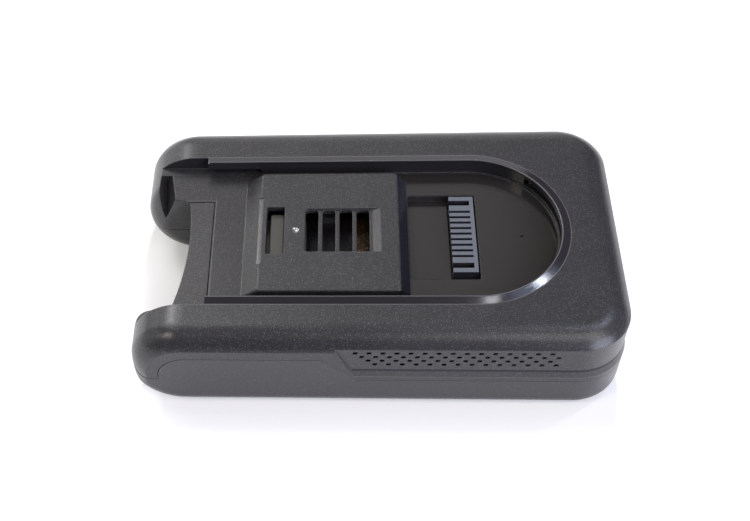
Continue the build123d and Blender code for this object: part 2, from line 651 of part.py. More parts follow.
    # Screw bosses and the lugs that carry the lever's pin
    with BuildSketch(Plane.XY.offset(SEAM_Z)):
        with Locations(*SCREW_PLACES):
            RegularPolygon(SCREW_BOSS_R, 12)
    extrude(amount=TOP_Z - CROWN_T - SEAM_Z)
    with BuildSketch(Plane.XY.offset(SEAM_Z)):
        with Locations(*SCREW_PLACES):
            RegularPolygon(SCREW_SHANK_R + SEAT_GAP, 12)
    extrude(amount=SCREW_BITE + SCREW_HEAD_T, mode=Mode.SUBTRACT)
    with BuildSketch(Plane.XZ):
        with Locations((PIVOT_X, PIVOT_Z)):
            Circle(BARREL_R)
        add(rectangle_between((PIVOT_X - BARREL_R, PIVOT_Z), (PIVOT_X + BARREL_R, DECK_UNDER)))
        with Locations((PIVOT_X, PIVOT_Z)):
            Circle(PIN_R + PIN_SEAT, mode=Mode.SUBTRACT)
    lug_bar = extrude(amount=LUG_Y + LUG_T / 2, both=True, mode=Mode.PRIVATE)
    with BuildSketch(Plane.XZ):
        add(rectangle_between((PIVOT_X - 2 * BARREL_R, 0), (PIVOT_X + 2 * BARREL_R, ABOVE)))
    lug_core = extrude(amount=LUG_Y - LUG_T / 2, both=True, mode=Mode.PRIVATE)
    add(lug_bar - lug_core)
finish(upper_housing.part, "upper_housing")

# Lower housing
with BuildPart() as lower_housing:
    with BuildSketch(Plane.XZ):
        with BuildLine():
            low_top = SEAM_Z - SEAM_GAP
            heel_top = (-HALF_L + HEEL_R - sqrt(HEEL_R**2 - (HEEL_R - low_top) ** 2), low_top)
            RadiusArc(heel_top, (-HALF_L + HEEL_R, 0), -HEEL_R)
            Line((-HALF_L + HEEL_R, 0), (HALF_L, 0))
            Line((HALF_L, 0), (HALF_L, low_top))
            Line((HALF_L, low_top), heel_top)
        make_face()
    extrude(amount=HALF_W + FLARE + 1, both=True)
    with BuildSketch(Plane.XY):
        add(plan_outline(HALF_W, -HALF_L, HALF_L, PLAN_CORNER_R))
    extrude(amount=ABOVE, mode=Mode.INTERSECT)
    base_face = lower_housing.faces().filter_by(Axis.Z).sort_by(Axis.Z)[0]
    foot_edges = [e for e in base_face.edges() if e.center().X > -HALF_L + HEEL_R + SEAM_GAP]
    foot_edges += [
        e for e in lower_housing.edges().filter_by(GeomType.LINE, reverse=True)
        if abs(e.center().Y) > HALF_W / 2 and e.center().X < -HALF_L + HEEL_R
    ]
    fillet(foot_edges, FOOT_R)
    with BuildSketch(Plane.XY):
        with BuildLine():
            crown_w = HALF_W + CROWN_OVER
            FilletPolyline(
                (HALF_L, -crown_w - 1),
                (-HALF_L, -crown_w),
                (-HALF_L, crown_w),
                (HALF_L, crown_w + 1),
                radius=CROWN_R,
            )
            Line((HALF_L, crown_w + 1), (HALF_L, -crown_w - 1))
        make_face()
    extrude(amount=ABOVE, mode=Mode.INTERSECT)

    # Cell bay, the rooms in the arms, and the gap between the arms
    with BuildSketch(Plane.XY.offset(WALL)):
        add(plan_outline(BAY_HALF_W, BAY_X[0], BAY_X[1], BAY_CORNER_R))
    extrude(amount=ABOVE, mode=Mode.SUBTRACT)
    with BuildSketch(Plane.XY.offset(-WALL)):
        add(rectangle_between((-HALF_L - WALL, ARM_INNER_Y[0]), (NOTCH_X, ARM_INNER_Y[1])))
    extrude(amount=ABOVE, mode=Mode.SUBTRACT)
    for inner_y, corner_r in zip(ARM_INNER_Y, ARM_CORNER_R):
        ends = lower_housing.edges().filter_by(GeomType.CIRCLE)
        fillet([e for e in ends if abs(e.center().Y - inner_y) < SEAM_GAP], corner_r)
    with BuildSketch(Plane.XZ):
        with BuildLine():
            room_r = HEEL_R - WALL
            room_top = (-HALF_L + HEEL_R - sqrt(room_r**2 - (HEEL_R - SEAM_Z) ** 2), SEAM_Z)
            RadiusArc(room_top, (-HALF_L + HEEL_R, WALL), -room_r)
            Line((-HALF_L + HEEL_R, WALL), (BAY_X[0], WALL))
            Line((BAY_X[0], WALL), (BAY_X[0], SEAM_Z))
            Line((BAY_X[0], SEAM_Z), room_top)
        make_face()
    arm_rooms = extrude(amount=BAY_HALF_W - FOOT_R + WALL, both=True, mode=Mode.PRIVATE)
    with BuildSketch(Plane.XY.offset(-WALL)):
        low = (-HALF_L, ARM_INNER_Y[0] - ARM_WALL)
        add(rectangle_between(low, (BAY_X[0] + WALL, ARM_INNER_Y[1] + ARM_WALL)))
    notch_core = extrude(amount=ABOVE, mode=Mode.PRIVATE)
    add(arm_rooms - notch_core, mode=Mode.SUBTRACT)

    # Wall behind the notch, up to just below the lever
    with BuildSketch(Plane.XY.offset(WALL)):
        add(rectangle_between((NOTCH_X, ARM_INNER_Y[0] + SEAM_GAP), (BAY_X[0], ARM_INNER_Y[1] - SEAM_GAP)))
    extrude(amount=SEAM_Z + NOTCH_WALL_RISE - WALL)

    # Side flaps that stand up into the upper housing
    with BuildSketch(Plane.XZ):
        add(flap_outline(0))
    flap_bar = extrude(amount=HALF_W + FLARE, both=True, mode=Mode.PRIVATE)
    with BuildSketch(Plane.XY):
        add(plan_outline(HALF_W, -HALF_L, HALF_L, PLAN_CORNER_R))
        add(plan_outline(BAY_HALF_W, -HALF_L, HALF_L - WALL, BAY_CORNER_R), mode=Mode.SUBTRACT)
    flap_skin = extrude(amount=ABOVE, mode=Mode.PRIVATE)
    add(flap_bar & flap_skin)

    # Screw posts, counterbored from below
    with BuildSketch(Plane.XY.offset(WALL / 2)):
        with Locations(*SCREW_PLACES):
            RegularPolygon(SCREW_BOSS_R, 12)
    extrude(amount=SEAM_Z - SEAM_GAP - WALL / 2)
    with BuildSketch(Plane.XY):
        with Locations(*SCREW_PLACES):
            RegularPolygon(SCREW_SHANK_R + SCREW_FIT, 12)
    extrude(amount=SEAM_Z, mode=Mode.SUBTRACT)
    with BuildSketch(Plane.XY):
        with Locations(*SCREW_PLACES):
            Circle(SCREW_HEAD_R + SCREW_FIT)
    extrude(amount=SCREW_SEAT_Z, mode=Mode.SUBTRACT)
finish(lower_housing.part, "lower_housing")

# Release lever: a plate to press, an arm under the deck, and a tongue in the window
with BuildPart() as release_lever:
    plate_x = PLATE_GAP_X - PLATE_GAP / 2
    plate_front_y = -GROOVE_HALF_W + PLATE_SIDE_GAP
    with BuildSketch(Plane.XY.offset(DECK_Z - PLATE_T)):
        with BuildLine():
            edge_front = PLATE_VERTEX_X - (PLATE_EDGE_R - sqrt(PLATE_EDGE_R**2 - plate_front_y**2))
            edge_rear = PLATE_VERTEX_X - (PLATE_EDGE_R - sqrt(PLATE_EDGE_R**2 - PLATE_REAR_Y**2))
            Line((plate_x, plate_front_y), (plate_x, PLATE_REAR_Y))
            Line((plate_x, PLATE_REAR_Y), (edge_rear, PLATE_REAR_Y))
            ThreePointArc((edge_rear, PLATE_REAR_Y), (PLATE_VERTEX_X, 0), (edge_front, plate_front_y))
            Line((edge_front, plate_front_y), (plate_x, plate_front_y))
        make_face()
    extrude(amount=PLATE_T)
    tongue_x = (WINDOW_X[0] + TONGUE_OPEN_GAP, WINDOW_X[1] - TONGUE_FIT)
    with BuildSketch(Plane.XZ):
        with BuildLine():
            Polyline(
                (plate_x - PLATE_T, ARM_TOP_Z - LEVER_ARM_T),
                (SPRING_X + SPRING_SEAT_R, ARM_TOP_Z - LEVER_ARM_T),
                (SPRING_X + SPRING_SEAT_R, ARM_TOP_Z),
                (plate_x, ARM_TOP_Z),
                (plate_x, DECK_Z - PLATE_T / 2),
                (plate_x - PLATE_T, DECK_Z - PLATE_T / 2),
                close=True,
            )
        make_face()
        with Locations((PIVOT_X, PIVOT_Z)):
            Circle(BARREL_R)
    extrude(amount=LEVER_ARM_HALF_W, both=True)
    with BuildSketch(Plane.XY.offset(ARM_TOP_Z - LEVER_ARM_T)):
        with Locations(((tongue_x[0] + tongue_x[1]) / 2, 0)):
            RectangleRounded(tongue_x[1] - tongue_x[0], 2 * (LEVER_ARM_HALF_W - TONGUE_FIT), TONGUE_CORNER_R)
    extrude(amount=BLOCK_Z - TONGUE_SINK - ARM_TOP_Z + LEVER_ARM_T)
    with BuildSketch(Plane.XZ):
        with Locations((PIVOT_X, PIVOT_Z)):
            Circle(PIN_R + PIN_RUNNING)
    extrude(amount=HALF_W, both=True, mode=Mode.SUBTRACT)
finish(release_lever.part, "release_lever")

# Steel pin, held in the lugs
with BuildPart() as lever_pin:
    with BuildSketch(Plane.XZ):
        with Locations((PIVOT_X, PIVOT_Z)):
            Circle(PIN_R)
    extrude(amount=LUG_Y + LUG_T / 2, both=True)
finish(lever_pin.part, "lever_pin")

# Return spring, pressing the lever's arm down from the block's underside
SPRING_TOP = BLOCK_Z - BLOCK_TOP_T - SPRING_SEAT_DROP
with BuildPart() as lever_spring:
    spring_low = ARM_TOP_Z + SPRING_WIRE_R
    spring_high = SPRING_TOP - SPRING_WIRE_R
    with BuildLine(Plane((SPRING_X, 0, spring_low))):
        spring_path = Helix((spring_high - spring_low) / SPRING_TURNS, spring_high - spring_low, SPRING_R)
    with BuildSketch(Plane(origin=spring_path @ 0, z_dir=spring_path % 0)):
        RegularPolygon(SPRING_WIRE_R, 6)
    sweep(path=spring_path, is_frenet=True)
finish(lever_spring.part, "lever_spring")

# Connector body: a comb with its spine on the closed side, standing above the deck
with BuildPart() as connector_body:
    with BuildSketch(Plane.XY.offset(BOARD_TOP)):
        add(
            rectangle_between(
                (CONNECTOR_X[0], CONNECTOR_MID - CONNECTOR_HALF_W),
                (CONNECTOR_X[1], CONNECTOR_MID + CONNECTOR_HALF_W),
            )
        )
    extrude(amount=CONNECTOR_TOP - BOARD_TOP)
    with BuildSketch(Plane.XY.offset(SLOT_Z)):
        for places, slot_w in ((SIGNAL_Y, SIGNAL_SLOT_W), (POWER_Y, POWER_SLOT_W)):
            for y in places:
                add(
                    rectangle_between(
                        (CONNECTOR_X[0] - SPINE_T, y - slot_w / 2),
                        (CONNECTOR_X[1] - SPINE_T, y + slot_w / 2),
                    )
                )
    extrude(amount=SLOT_DEPTH, mode=Mode.SUBTRACT)
finish(connector_body.part, "connector_body")


def contact_row(places, thickness):
    """Blades standing in the connector's slots, one at each place across."""
    with BuildPart() as row:
        with BuildSketch(Plane.XY.offset(SLOT_Z + SEAT_GAP / 2)):
            for y in places:
                add(
                    rectangle_between(
                        (CONNECTOR_X[0] + SPINE_T, y - thickness / 2),
                        (CONNECTOR_X[1] - SPINE_T - SEAT_GAP / 2, y + thickness / 2),
                    )
                )
        extrude(amount=SLOT_DEPTH - SEAT_GAP / 2 - CONTACT_SINK)
    return row.part


finish(contact_row(SIGNAL_Y, CONTACT_T), "signal_contacts")
finish(contact_row(POWER_Y, POWER_CONTACT_T), "power_contacts")

# Circuit board
with BuildPart() as circuit_board:
    with BuildSketch(Plane.XY.offset(BOARD_Z)):
        add(rectangle_between((BOARD_X[0], -BOARD_HALF_W), (BOARD_X[1], BOARD_HALF_W)))
        with Locations(*BOARD_SCREWS):
            RegularPolygon(BOARD_SCREW_R + SEAT_GAP, 12, mode=Mode.SUBTRACT)
    extrude(amount=BOARD_T)
finish(circuit_board.part, "circuit_board")

# Parts soldered on the board
CHIP_SIZE = (9.0, 9.0, 1.2)
CHIP_FROM_END = 83.6
MOSFET_SIZE = (5.2, 6.2, 1.1)
MOSFET_COUNT = 4
MOSFET_PITCH = 8.0
MOSFET_FROM_END = 36.6
SHUNT_SIZE = (3.2, 6.4, 0.8)
SHUNT_FROM_END = 28.6
FUSE_SIZE = (4.0, 9.6, 2.4)
FUSE_PLACE = (94.6, 15.5)
CAPACITOR_R = 3.1
CAPACITOR_H = 6.2
CAPACITOR_FROM_END = 80.6
CAPACITOR_ROOM = 3.8
CAPACITOR_Y = BLOCK_HALF_W - BLOCK_TOP_T - CAPACITOR_R - CAPACITOR_ROOM


def board_blocks(size, places):
    """Low rectangular components standing on the board."""
    with BuildPart() as blocks:
        with BuildSketch(Plane.XY.offset(BOARD_TOP)):
            with Locations(*places):
                Rectangle(size[0], size[1])
        extrude(amount=size[2])
    return blocks.part


finish(board_blocks(CHIP_SIZE, [(HALF_L - CHIP_FROM_END, 0)]), "controller_chip")
mosfet_y = [MOSFET_PITCH * (i - (MOSFET_COUNT - 1) / 2) for i in range(MOSFET_COUNT)]
finish(board_blocks(MOSFET_SIZE, [(HALF_L - MOSFET_FROM_END, y) for y in mosfet_y]), "power_switches")
finish(board_blocks(SHUNT_SIZE, [(HALF_L - SHUNT_FROM_END, 0)]), "current_shunt")
finish(board_blocks(FUSE_SIZE, [(HALF_L - FUSE_PLACE[0], FUSE_PLACE[1])]), "board_fuse")
with BuildPart() as board_capacitors:
    with BuildSketch(Plane.XY.offset(BOARD_TOP)):
        with Locations(*[(HALF_L - CAPACITOR_FROM_END, side * CAPACITOR_Y) for side in (-1, 1)]):
            Circle(CAPACITOR_R)
    extrude(amount=CAPACITOR_H)
finish(board_capacitors.part, "board_capacitors")

# Self-tapping screws of the board
with BuildPart() as board_screws:
    with BuildSketch(Plane.XY.offset(BOARD_TOP)):
        with Locations(*BOARD_SCREWS):
            Circle(BOARD_SCREW_HEAD_R)
    extrude(amount=BOARD_SCREW_HEAD_T)
    with BuildSketch(Plane.XY.offset(BOARD_TOP)):
        with Locations(*BOARD_SCREWS):
            RegularPolygon(BOARD_SCREW_R, 12)
    extrude(amount=-BOARD_SCREW_LEN)
finish(board_screws.part, "board_screws")

# Cells, lying across the pack, turned end for end one after the other
for index in range(CELL_COUNT):
    end = 1 if index % 2 == 0 else -1
    with BuildPart() as cell:
        with BuildSketch(Plane.XY):
            with BuildLine():
                low = -CELL_LEN / 2
                high = CELL_LEN / 2 - CELL_CAP_RISE
                crimp = high - CELL_CRIMP_FROM_END
                crimp_r = CELL_D / 2 - CELL_CRIMP_DEPTH
                Polyline(
                    (0, low),
                    (CELL_D / 2, low),
                    (CELL_D / 2, crimp - CELL_CRIMP_W / 2),
                    (crimp_r, crimp),
                    (CELL_D / 2, crimp + CELL_CRIMP_W / 2),
                    (CELL_D / 2, high),
                    (CELL_CAP_R, high),
                    (CELL_CAP_R, high + CELL_CAP_RISE),
                    (0, high + CELL_CAP_RISE),
                    close=True,
                )
            make_face()
        revolve(axis=Axis.Y)
    turned = cell.part if end > 0 else cell.part.rotate(Axis.Z, 180)
    finish(turned.moved(Location((cell_x(index), 0, CELL_Z))), "battery_cell_" + str(index + 1))

# Cell holders: a flanged frame over each end of the row
HOLDER_TOP = BOARD_Z - HOLDER_TOP_GAP
HOLDER_X = (BAY_X[0] + SEAT_GAP, BAY_X[1] - SEAT_GAP)
for side, name in ((-1, "cell_holder_front"), (1, "cell_holder_rear")):
    face_plane = Plane(origin=(0, side * CELL_LEN / 2, 0), x_dir=(1, 0, 0), z_dir=(0, -1, 0))
    with BuildPart() as holder:
        with BuildSketch(face_plane):
            add(rectangle_between((HOLDER_X[0], WALL + SEAT_GAP), (HOLDER_X[1], HOLDER_TOP)))
        extrude(amount=side * HOLDER_REACH)
        with BuildSketch(face_plane):
            with Locations(*[(cell_x(i), CELL_Z) for i in range(CELL_COUNT)]):
                Circle(CELL_D / 2 + HOLDER_FIT)
            add(
                rectangle_between(
                    (cell_x(CELL_COUNT - 1), CELL_Z - HOLDER_WINDOW_H / 2),
                    (cell_x(0), CELL_Z + HOLDER_WINDOW_H / 2),
                )
            )
        extrude(amount=side * HOLDER_REACH, mode=Mode.SUBTRACT)
        flange_plane = face_plane.offset(-side * FLANGE_GAP)
        with BuildSketch(flange_plane):
            add(rectangle_between((HOLDER_X[0], WALL + SEAT_GAP), (HOLDER_X[1], HOLDER_TOP)))
            with Locations(*[(cell_x(i), CELL_Z) for i in range(CELL_COUNT)]):
                RegularPolygon(FLANGE_HOLE_R, 12, mode=Mode.SUBTRACT)
        extrude(amount=-side * FLANGE_T)
        with BuildSketch(face_plane):
            add(rectangle_between((HOLDER_X[0], WALL + SEAT_GAP), (HOLDER_X[0] + SEAT_GAP, HOLDER_TOP)))
            add(rectangle_between((HOLDER_X[1] - SEAT_GAP, WALL + SEAT_GAP), (HOLDER_X[1], HOLDER_TOP)))
        extrude(amount=-side * (FLANGE_GAP + FLANGE_T / 2))
        with BuildSketch(Plane.XY.offset(HOLDER_TOP)):
            with Locations(*[(x, y) for x, y in BOARD_SCREWS if y * side > 0]):
                RegularPolygon(BOARD_SCREW_R + SEAT_GAP / 2, 12)
        extrude(amount=-BOARD_SCREW_LEN, mode=Mode.SUBTRACT)
        with BuildSketch(Plane.XY):
            add(
                plan_outline(
                    BAY_HALF_W - SEAT_GAP, HOLDER_X[0], BAY_X[1] - SEAT_GAP, BAY_CORNER_R
                )
            )
        extrude(amount=ABOVE, mode=Mode.INTERSECT)
    finish(holder.part, name)

# Nickel strips: welded discs on the cell ends, a strip over them and a tab to the board
STRIP_PAIRS_FRONT = ((0, 1), (2, 3), (4, 5), (6, 6))
STRIP_PAIRS_REAR = ((0, 0), (1, 2), (3, 4), (5, 6))


def strip_tab_x(pair):
    """Where a strip's tab meets the board: beside its first cell, but not past the board."""
    reach = STRIP_TAB_W / 2 + SEAM_GAP
    return max(BOARD_X[0] + reach, min(BOARD_X[1] - reach, cell_x(pair[0])))


for side, name, pairs in (
    (-1, "nickel_strips_front", STRIP_PAIRS_FRONT),
    (1, "nickel_strips_rear", STRIP_PAIRS_REAR),
):
    strip_y = side * (CELL_LEN / 2 + FLANGE_GAP + FLANGE_T + STRIP_GAP)
    disc_y = side * (CELL_LEN / 2 + STRIP_GAP)
    strip_plane = Plane(origin=(0, strip_y, 0), x_dir=(1, 0, 0), z_dir=(0, -1, 0))
    disc_plane = Plane(origin=(0, disc_y, 0), x_dir=(1, 0, 0), z_dir=(0, -1, 0))
    with BuildPart() as strips:
        with BuildSketch(strip_plane):
            for pair in pairs:
                left = cell_x(pair[1]) - STRIP_END
                right = cell_x(pair[0]) + STRIP_END
                tab_x = strip_tab_x(pair)
                add(rectangle_between((left, CELL_Z - STRIP_HALF_H), (right, CELL_Z + STRIP_HALF_H)))
                rise_x = max(left + STRIP_TAB_W / 2, min(right - STRIP_TAB_W / 2, tab_x))
                add(
                    rectangle_between(
                        (rise_x - STRIP_TAB_W / 2, CELL_Z),
                        (rise_x + STRIP_TAB_W / 2, BOARD_TOP + SEAT_GAP + STRIP_T),
                    )
                )
                add(
                    rectangle_between(
                        (min(rise_x, tab_x) - STRIP_TAB_W / 2, BOARD_Z - STRIP_TAB_W / 2),
                        (max(rise_x, tab_x) + STRIP_TAB_W / 2, BOARD_TOP + SEAT_GAP + STRIP_T),
                    )
                )
        extrude(amount=-side * STRIP_T)
        with BuildSketch(disc_plane):
            for index in sorted({i for pair in pairs for i in pair}):
                with Locations((cell_x(index), CELL_Z)):
                    RegularPolygon(STRIP_DISC_R, 16)
        extrude(amount=-side * (FLANGE_GAP + FLANGE_T))
        with BuildSketch(Plane.XY.offset(BOARD_TOP + SEAT_GAP)):
            for pair in pairs:
                tab_x = strip_tab_x(pair)
                ends = sorted((side * (BOARD_HALF_W - STRIP_TAB_W), strip_y + side * STRIP_T / 2))
                tab_half_w = STRIP_TAB_W / 2
                add(rectangle_between((tab_x - tab_half_w, ends[0]), (tab_x + tab_half_w, ends[1])))
        extrude(amount=STRIP_T)
    finish(strips.part, name)

# Insulating sheets: one over each row of strips, one paper between cells and board
SHEET_Y = CELL_LEN / 2 + FLANGE_GAP + FLANGE_T + STRIP_GAP + STRIP_T + SHEET_GAP
for side, name in ((-1, "insulating_sheet_front"), (1, "insulating_sheet_rear")):
    sheet_plane = Plane(origin=(0, side * SHEET_Y, 0), x_dir=(1, 0, 0), z_dir=(0, -1, 0))
    with BuildPart() as end_sheet:
        with BuildSketch(sheet_plane):
            add(rectangle_between((HOLDER_X[0], WALL + SEAT_GAP), (cell_x(0) + STRIP_END, BOARD_Z)))
        extrude(amount=-side * SHEET_T)
    finish(end_sheet.part, name)
with BuildPart() as insulating_paper:
    with BuildSketch(Plane.XY.offset(CELL_TOP + SEAT_GAP)):
        paper_half_w = CELL_LEN / 2 - HOLDER_REACH - BAY_CLEAR
        add(rectangle_between((BOARD_X[0], -paper_half_w), (BOARD_X[1], paper_half_w)))
    extrude(amount=PAPER_T)
finish(insulating_paper.part, "insulating_paper")

# Housing screws, driven up from below
with BuildPart() as housing_screws:
    with BuildSketch(Plane.XY.offset(SCREW_SEAT_Z)):
        with Locations(*SCREW_PLACES):
            Circle(SCREW_HEAD_R)
    extrude(amount=-SCREW_HEAD_T)
    with BuildSketch(Plane.XY.offset(SCREW_SEAT_Z)):
        with Locations(*SCREW_PLACES):
            RegularPolygon(SCREW_SHANK_R, 12)
    extrude(amount=SEAM_Z - SCREW_SEAT_Z + SCREW_BITE)
finish(housing_screws.part, "housing_screws")
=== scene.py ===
import math

import bpy
from mathutils import Matrix, Vector


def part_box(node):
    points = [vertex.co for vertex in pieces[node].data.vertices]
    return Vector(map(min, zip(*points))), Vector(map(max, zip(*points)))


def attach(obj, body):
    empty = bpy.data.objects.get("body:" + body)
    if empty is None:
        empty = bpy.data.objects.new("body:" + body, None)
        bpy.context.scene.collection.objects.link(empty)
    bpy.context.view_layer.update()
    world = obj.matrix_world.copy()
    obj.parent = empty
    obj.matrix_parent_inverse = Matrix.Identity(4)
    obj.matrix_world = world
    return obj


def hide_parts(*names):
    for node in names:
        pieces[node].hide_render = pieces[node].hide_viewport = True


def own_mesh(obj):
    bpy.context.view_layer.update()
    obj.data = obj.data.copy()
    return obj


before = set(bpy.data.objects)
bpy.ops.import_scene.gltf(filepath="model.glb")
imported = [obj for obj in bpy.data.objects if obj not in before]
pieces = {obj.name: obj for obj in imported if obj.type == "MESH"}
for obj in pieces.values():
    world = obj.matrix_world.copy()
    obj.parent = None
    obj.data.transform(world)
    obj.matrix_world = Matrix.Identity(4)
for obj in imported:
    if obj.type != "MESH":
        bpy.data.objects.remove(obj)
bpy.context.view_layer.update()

scene = bpy.context.scene
scene.view_settings.view_transform = "Standard"

# Camera: looks down on the pack from in front, about 0.4 m away, with the open end at the left.
# The picture is a crop, so the optical axis lies left of its middle.
picture_width = 750
film_width = 36
focal_pixels = 1180.13
axis_pixel = 254.98
camera_spot = (-0.009925, -0.247559, 0.336668)
pitch, yaw, roll = 0.908, -0.124, -0.101
forward = Vector((math.sin(yaw) * math.cos(pitch), math.cos(yaw) * math.cos(pitch), -math.sin(pitch)))
level_right = Vector((math.cos(yaw), -math.sin(yaw), 0))
level_up = level_right.cross(forward)
right = math.cos(roll) * level_right + math.sin(roll) * level_up
up = math.cos(roll) * level_up - math.sin(roll) * level_right
camera_data = bpy.data.cameras.new("camera")
camera_data.sensor_width = film_width
camera_data.lens = film_width * focal_pixels / picture_width
camera_data.shift_x = 0.5 - axis_pixel / picture_width
camera = bpy.data.objects.new("camera", camera_data)
scene.collection.objects.link(camera)
turned = Matrix((right, up, -forward)).transposed().to_4x4()
camera.matrix_world = Matrix.Translation(camera_spot) @ turned
scene.camera = camera

# Studio: round lamps over a white table, from wide soft boxes to small spots.
# The key, from the rear, is polarised and gives no gloss.
# The table reads as white in the picture and takes the pack's shadow.
box_distance = 2.0
room_colour = (0.9, 0.93, 1.0, 1)
room_strength = 0.03
table_half = 4.0
table_drop = 0.0001
table_corners = [(-1, -1), (1, -1), (1, 1), (-1, 1)]
table_grey = (0.86, 0.86, 0.86, 1)
table_roughness = 0.9
table_lift = (0.2, 0.2, 0.2, 1)
no_lift = (0, 0, 0, 1)


def node(tree, kind, inputs, **settings):
    """Adds a node; each input is a constant or the output that feeds it."""
    made = tree.nodes.new("ShaderNode" + kind)
    for key, value in settings.items():
        setattr(made, key, value)
    for key, value in inputs.items():
        if isinstance(value, bpy.types.NodeSocket):
            tree.links.new(value, made.inputs[key])
        else:
            made.inputs[key].default_value = value
    return made


def soft_box(name, azimuth, elevation, half_angle, brightness, colour, gloss=True):
    """A round lamp in a given direction from the pack; azimuth 90 is the closed end's side."""
    turn, rise = math.radians(azimuth), math.radians(elevation)
    toward = Vector((math.sin(turn) * math.cos(rise), -math.cos(turn) * math.cos(rise), math.sin(rise)))
    radius = box_distance * math.tan(math.radians(half_angle))
    data = bpy.data.lights.new(name, "AREA")
    data.shape = "DISK"
    data.size = 2 * radius
    data.energy = brightness * (math.pi * radius) ** 2
    data.color = colour
    lamp = bpy.data.objects.new(name, data)
    scene.collection.objects.link(lamp)
    lamp.location = toward * box_distance
    lamp.rotation_euler = (-toward).to_track_quat("-Z", "Y").to_euler()
    lamp.visible_glossy = gloss


soft_box("rear_left_box", 225, 58, 16, 3.1, (1.0, 1.0, 1.0))
soft_box("rear_left_low_box", 225, 22, 20, 1.55, (1.0, 1.0, 1.0))
soft_box("left_low_box", 270, 22, 20, 0.9, (1.0, 1.0, 1.03))
soft_box("rear_low_box", 180, 22, 20, 1.0, (1.0, 0.99, 1.0))
soft_box("front_right_box", 45, 58, 16, 3.8, (1.0, 0.97, 0.97))
soft_box("front_right_low_box", 45, 22, 20, 6.2, (0.92, 0.95, 1.16))
soft_box("right_box", 90, 58, 16, 0.5, (0.95, 0.97, 1.1))
soft_box("right_low_box", 90, 22, 20, 0.25, (0.9, 0.95, 1.15))
soft_box("window_box", 218, 43, 5, 15.0, (1.0, 0.99, 1.0))
soft_box("nose_box", 298, 50, 7, 12.0, (1.0, 0.91, 0.82))
soft_box("rear_glow_box", 187, 52, 14, 0.6, (1.0, 0.98, 0.98))
soft_box("blue_box", 124, 62, 10, 1.5, (0.72, 0.86, 1.3))
soft_box("spot", 121, 59, 1.2, 160, (0.9, 0.97, 1.1))
soft_box("high_spot", 121, 77, 0.8, 110, (1.0, 1.0, 1.05))
soft_box("key", 173, 41, 3, 205, (1.0, 0.985, 0.975), gloss=False)

world = bpy.data.worlds.new("studio")
scene.world = world
world.use_nodes = True
room = world.node_tree.nodes["Background"]
room.inputs["Color"].default_value = room_colour
room.inputs["Strength"].default_value = room_strength

table_points = [(x * table_half, y * table_half, -table_drop) for x, y in table_corners]
table_mesh = bpy.data.meshes.new("table")
table_mesh.from_pydata(table_points, [], [(0, 1, 2, 3)])
table = bpy.data.objects.new("table", table_mesh)
scene.collection.objects.link(table)
table_paint = bpy.data.materials.new("table_white")
table_paint.use_nodes = True
tree = table_paint.node_tree
shader = tree.nodes["Principled BSDF"]
shader.inputs["Base Color"].default_value = table_grey
shader.inputs["Roughness"].default_value = table_roughness
path = node(tree, "LightPath", {}).outputs
seen = path["Is Camera Ray"]
for ray in ("Is Glossy Ray", "Is Transmission Ray"):
    seen = node(tree, "Math", {0: seen, 1: path[ray]}, operation="MAXIMUM").outputs[0]
lift = node(tree, "MixRGB", {0: seen, 1: no_lift, 2: table_lift})
tree.links.new(lift.outputs[0], shader.inputs["Emission Color"])
shader.inputs["Emission Strength"].default_value = 1.0
table_mesh.materials.append(table_paint)

# Cells: seven lithium-ion cells, steel cans in a shrunk plastic sleeve.
# They lie side by side across the pack, turned end for end one after the other.
sleeve_colours = (0.02, 0.10, 0.16), (0.03, 0.13, 0.20)
can_colour = (0.55, 0.54, 0.52)
bare_end_slope = 0.6
cell_count = 7
noise_low, noise_high = 0.3, 0.7
pit_share = 0.5


def shader_group(name, inputs, outputs):
    """A shader node group with named sockets, and its input and output nodes."""
    group = bpy.data.node_groups.new(name, "ShaderNodeTree")
    for label, kind, value in inputs:
        socket = group.interface.new_socket(label, in_out="INPUT", socket_type="NodeSocket" + kind)
        socket.default_value = value
    for label, kind in outputs:
        group.interface.new_socket(label, in_out="OUTPUT", socket_type="NodeSocket" + kind)
    return group, group.nodes.new("NodeGroupInput"), group.nodes.new("NodeGroupOutput")


def placed(tree, group, **values):
    """A node group in a material, with its own values; an underscore stands for a space."""
    made = tree.nodes.new("ShaderNodeGroup")
    made.node_tree = group
    for key, value in values.items():
        made.inputs[key.replace("_", " ").title()].default_value = value
    return made


def finish(name, **sockets):
    """A new material: its tree and its surface shader, with that shader's plain values set."""
    material = bpy.data.materials.new(name)
    material.use_nodes = True
    shader = material.node_tree.nodes["Principled BSDF"]
    for key, value in sockets.items():
        shader.inputs[key.replace("_", " ").title().replace("Ior", "IOR")].default_value = value
    return material, material.node_tree, shader


def wear(material, *names):
    """Gives CAD pieces one material."""
    for name in names:
        pieces[name].data.materials.clear()
        pieces[name].data.materials.append(material)


def maths(tree, operation, *values):
    """One sum on values or outputs."""
    return node(tree, "Math", dict(enumerate(values)), operation=operation).outputs[0]


def facing(tree):
    """The way the surface faces, as outputs X, Y and Z."""
    return node(tree, "SeparateXYZ", {0: node(tree, "TexCoord", {}).outputs["Normal"]}).outputs


def toned(tree, mask, dark, light):
    """A colour between two, by a mask; each is a plain colour or an output."""
    ends = [c if isinstance(c, bpy.types.NodeSocket) else (*c, 1) for c in (dark, light)]
    return node(tree, "MixRGB", {0: mask, 1: ends[0], 2: ends[1]}).outputs[0]


def ranged(tree, value, low, high):
    """A noise value, spread over a range from low to high."""
    inputs = {"Value": value, "From Min": noise_low, "From Max": noise_high, "To Min": low, "To Max": high}
    return node(tree, "MapRange", inputs).outputs[0]


def surfaced(tree, shader, colour, roughness):
    """Feeds a shader the colour and the roughness that change over a surface."""
    tree.links.new(colour, shader.inputs["Base Color"])
    tree.links.new(roughness, shader.inputs["Roughness"])


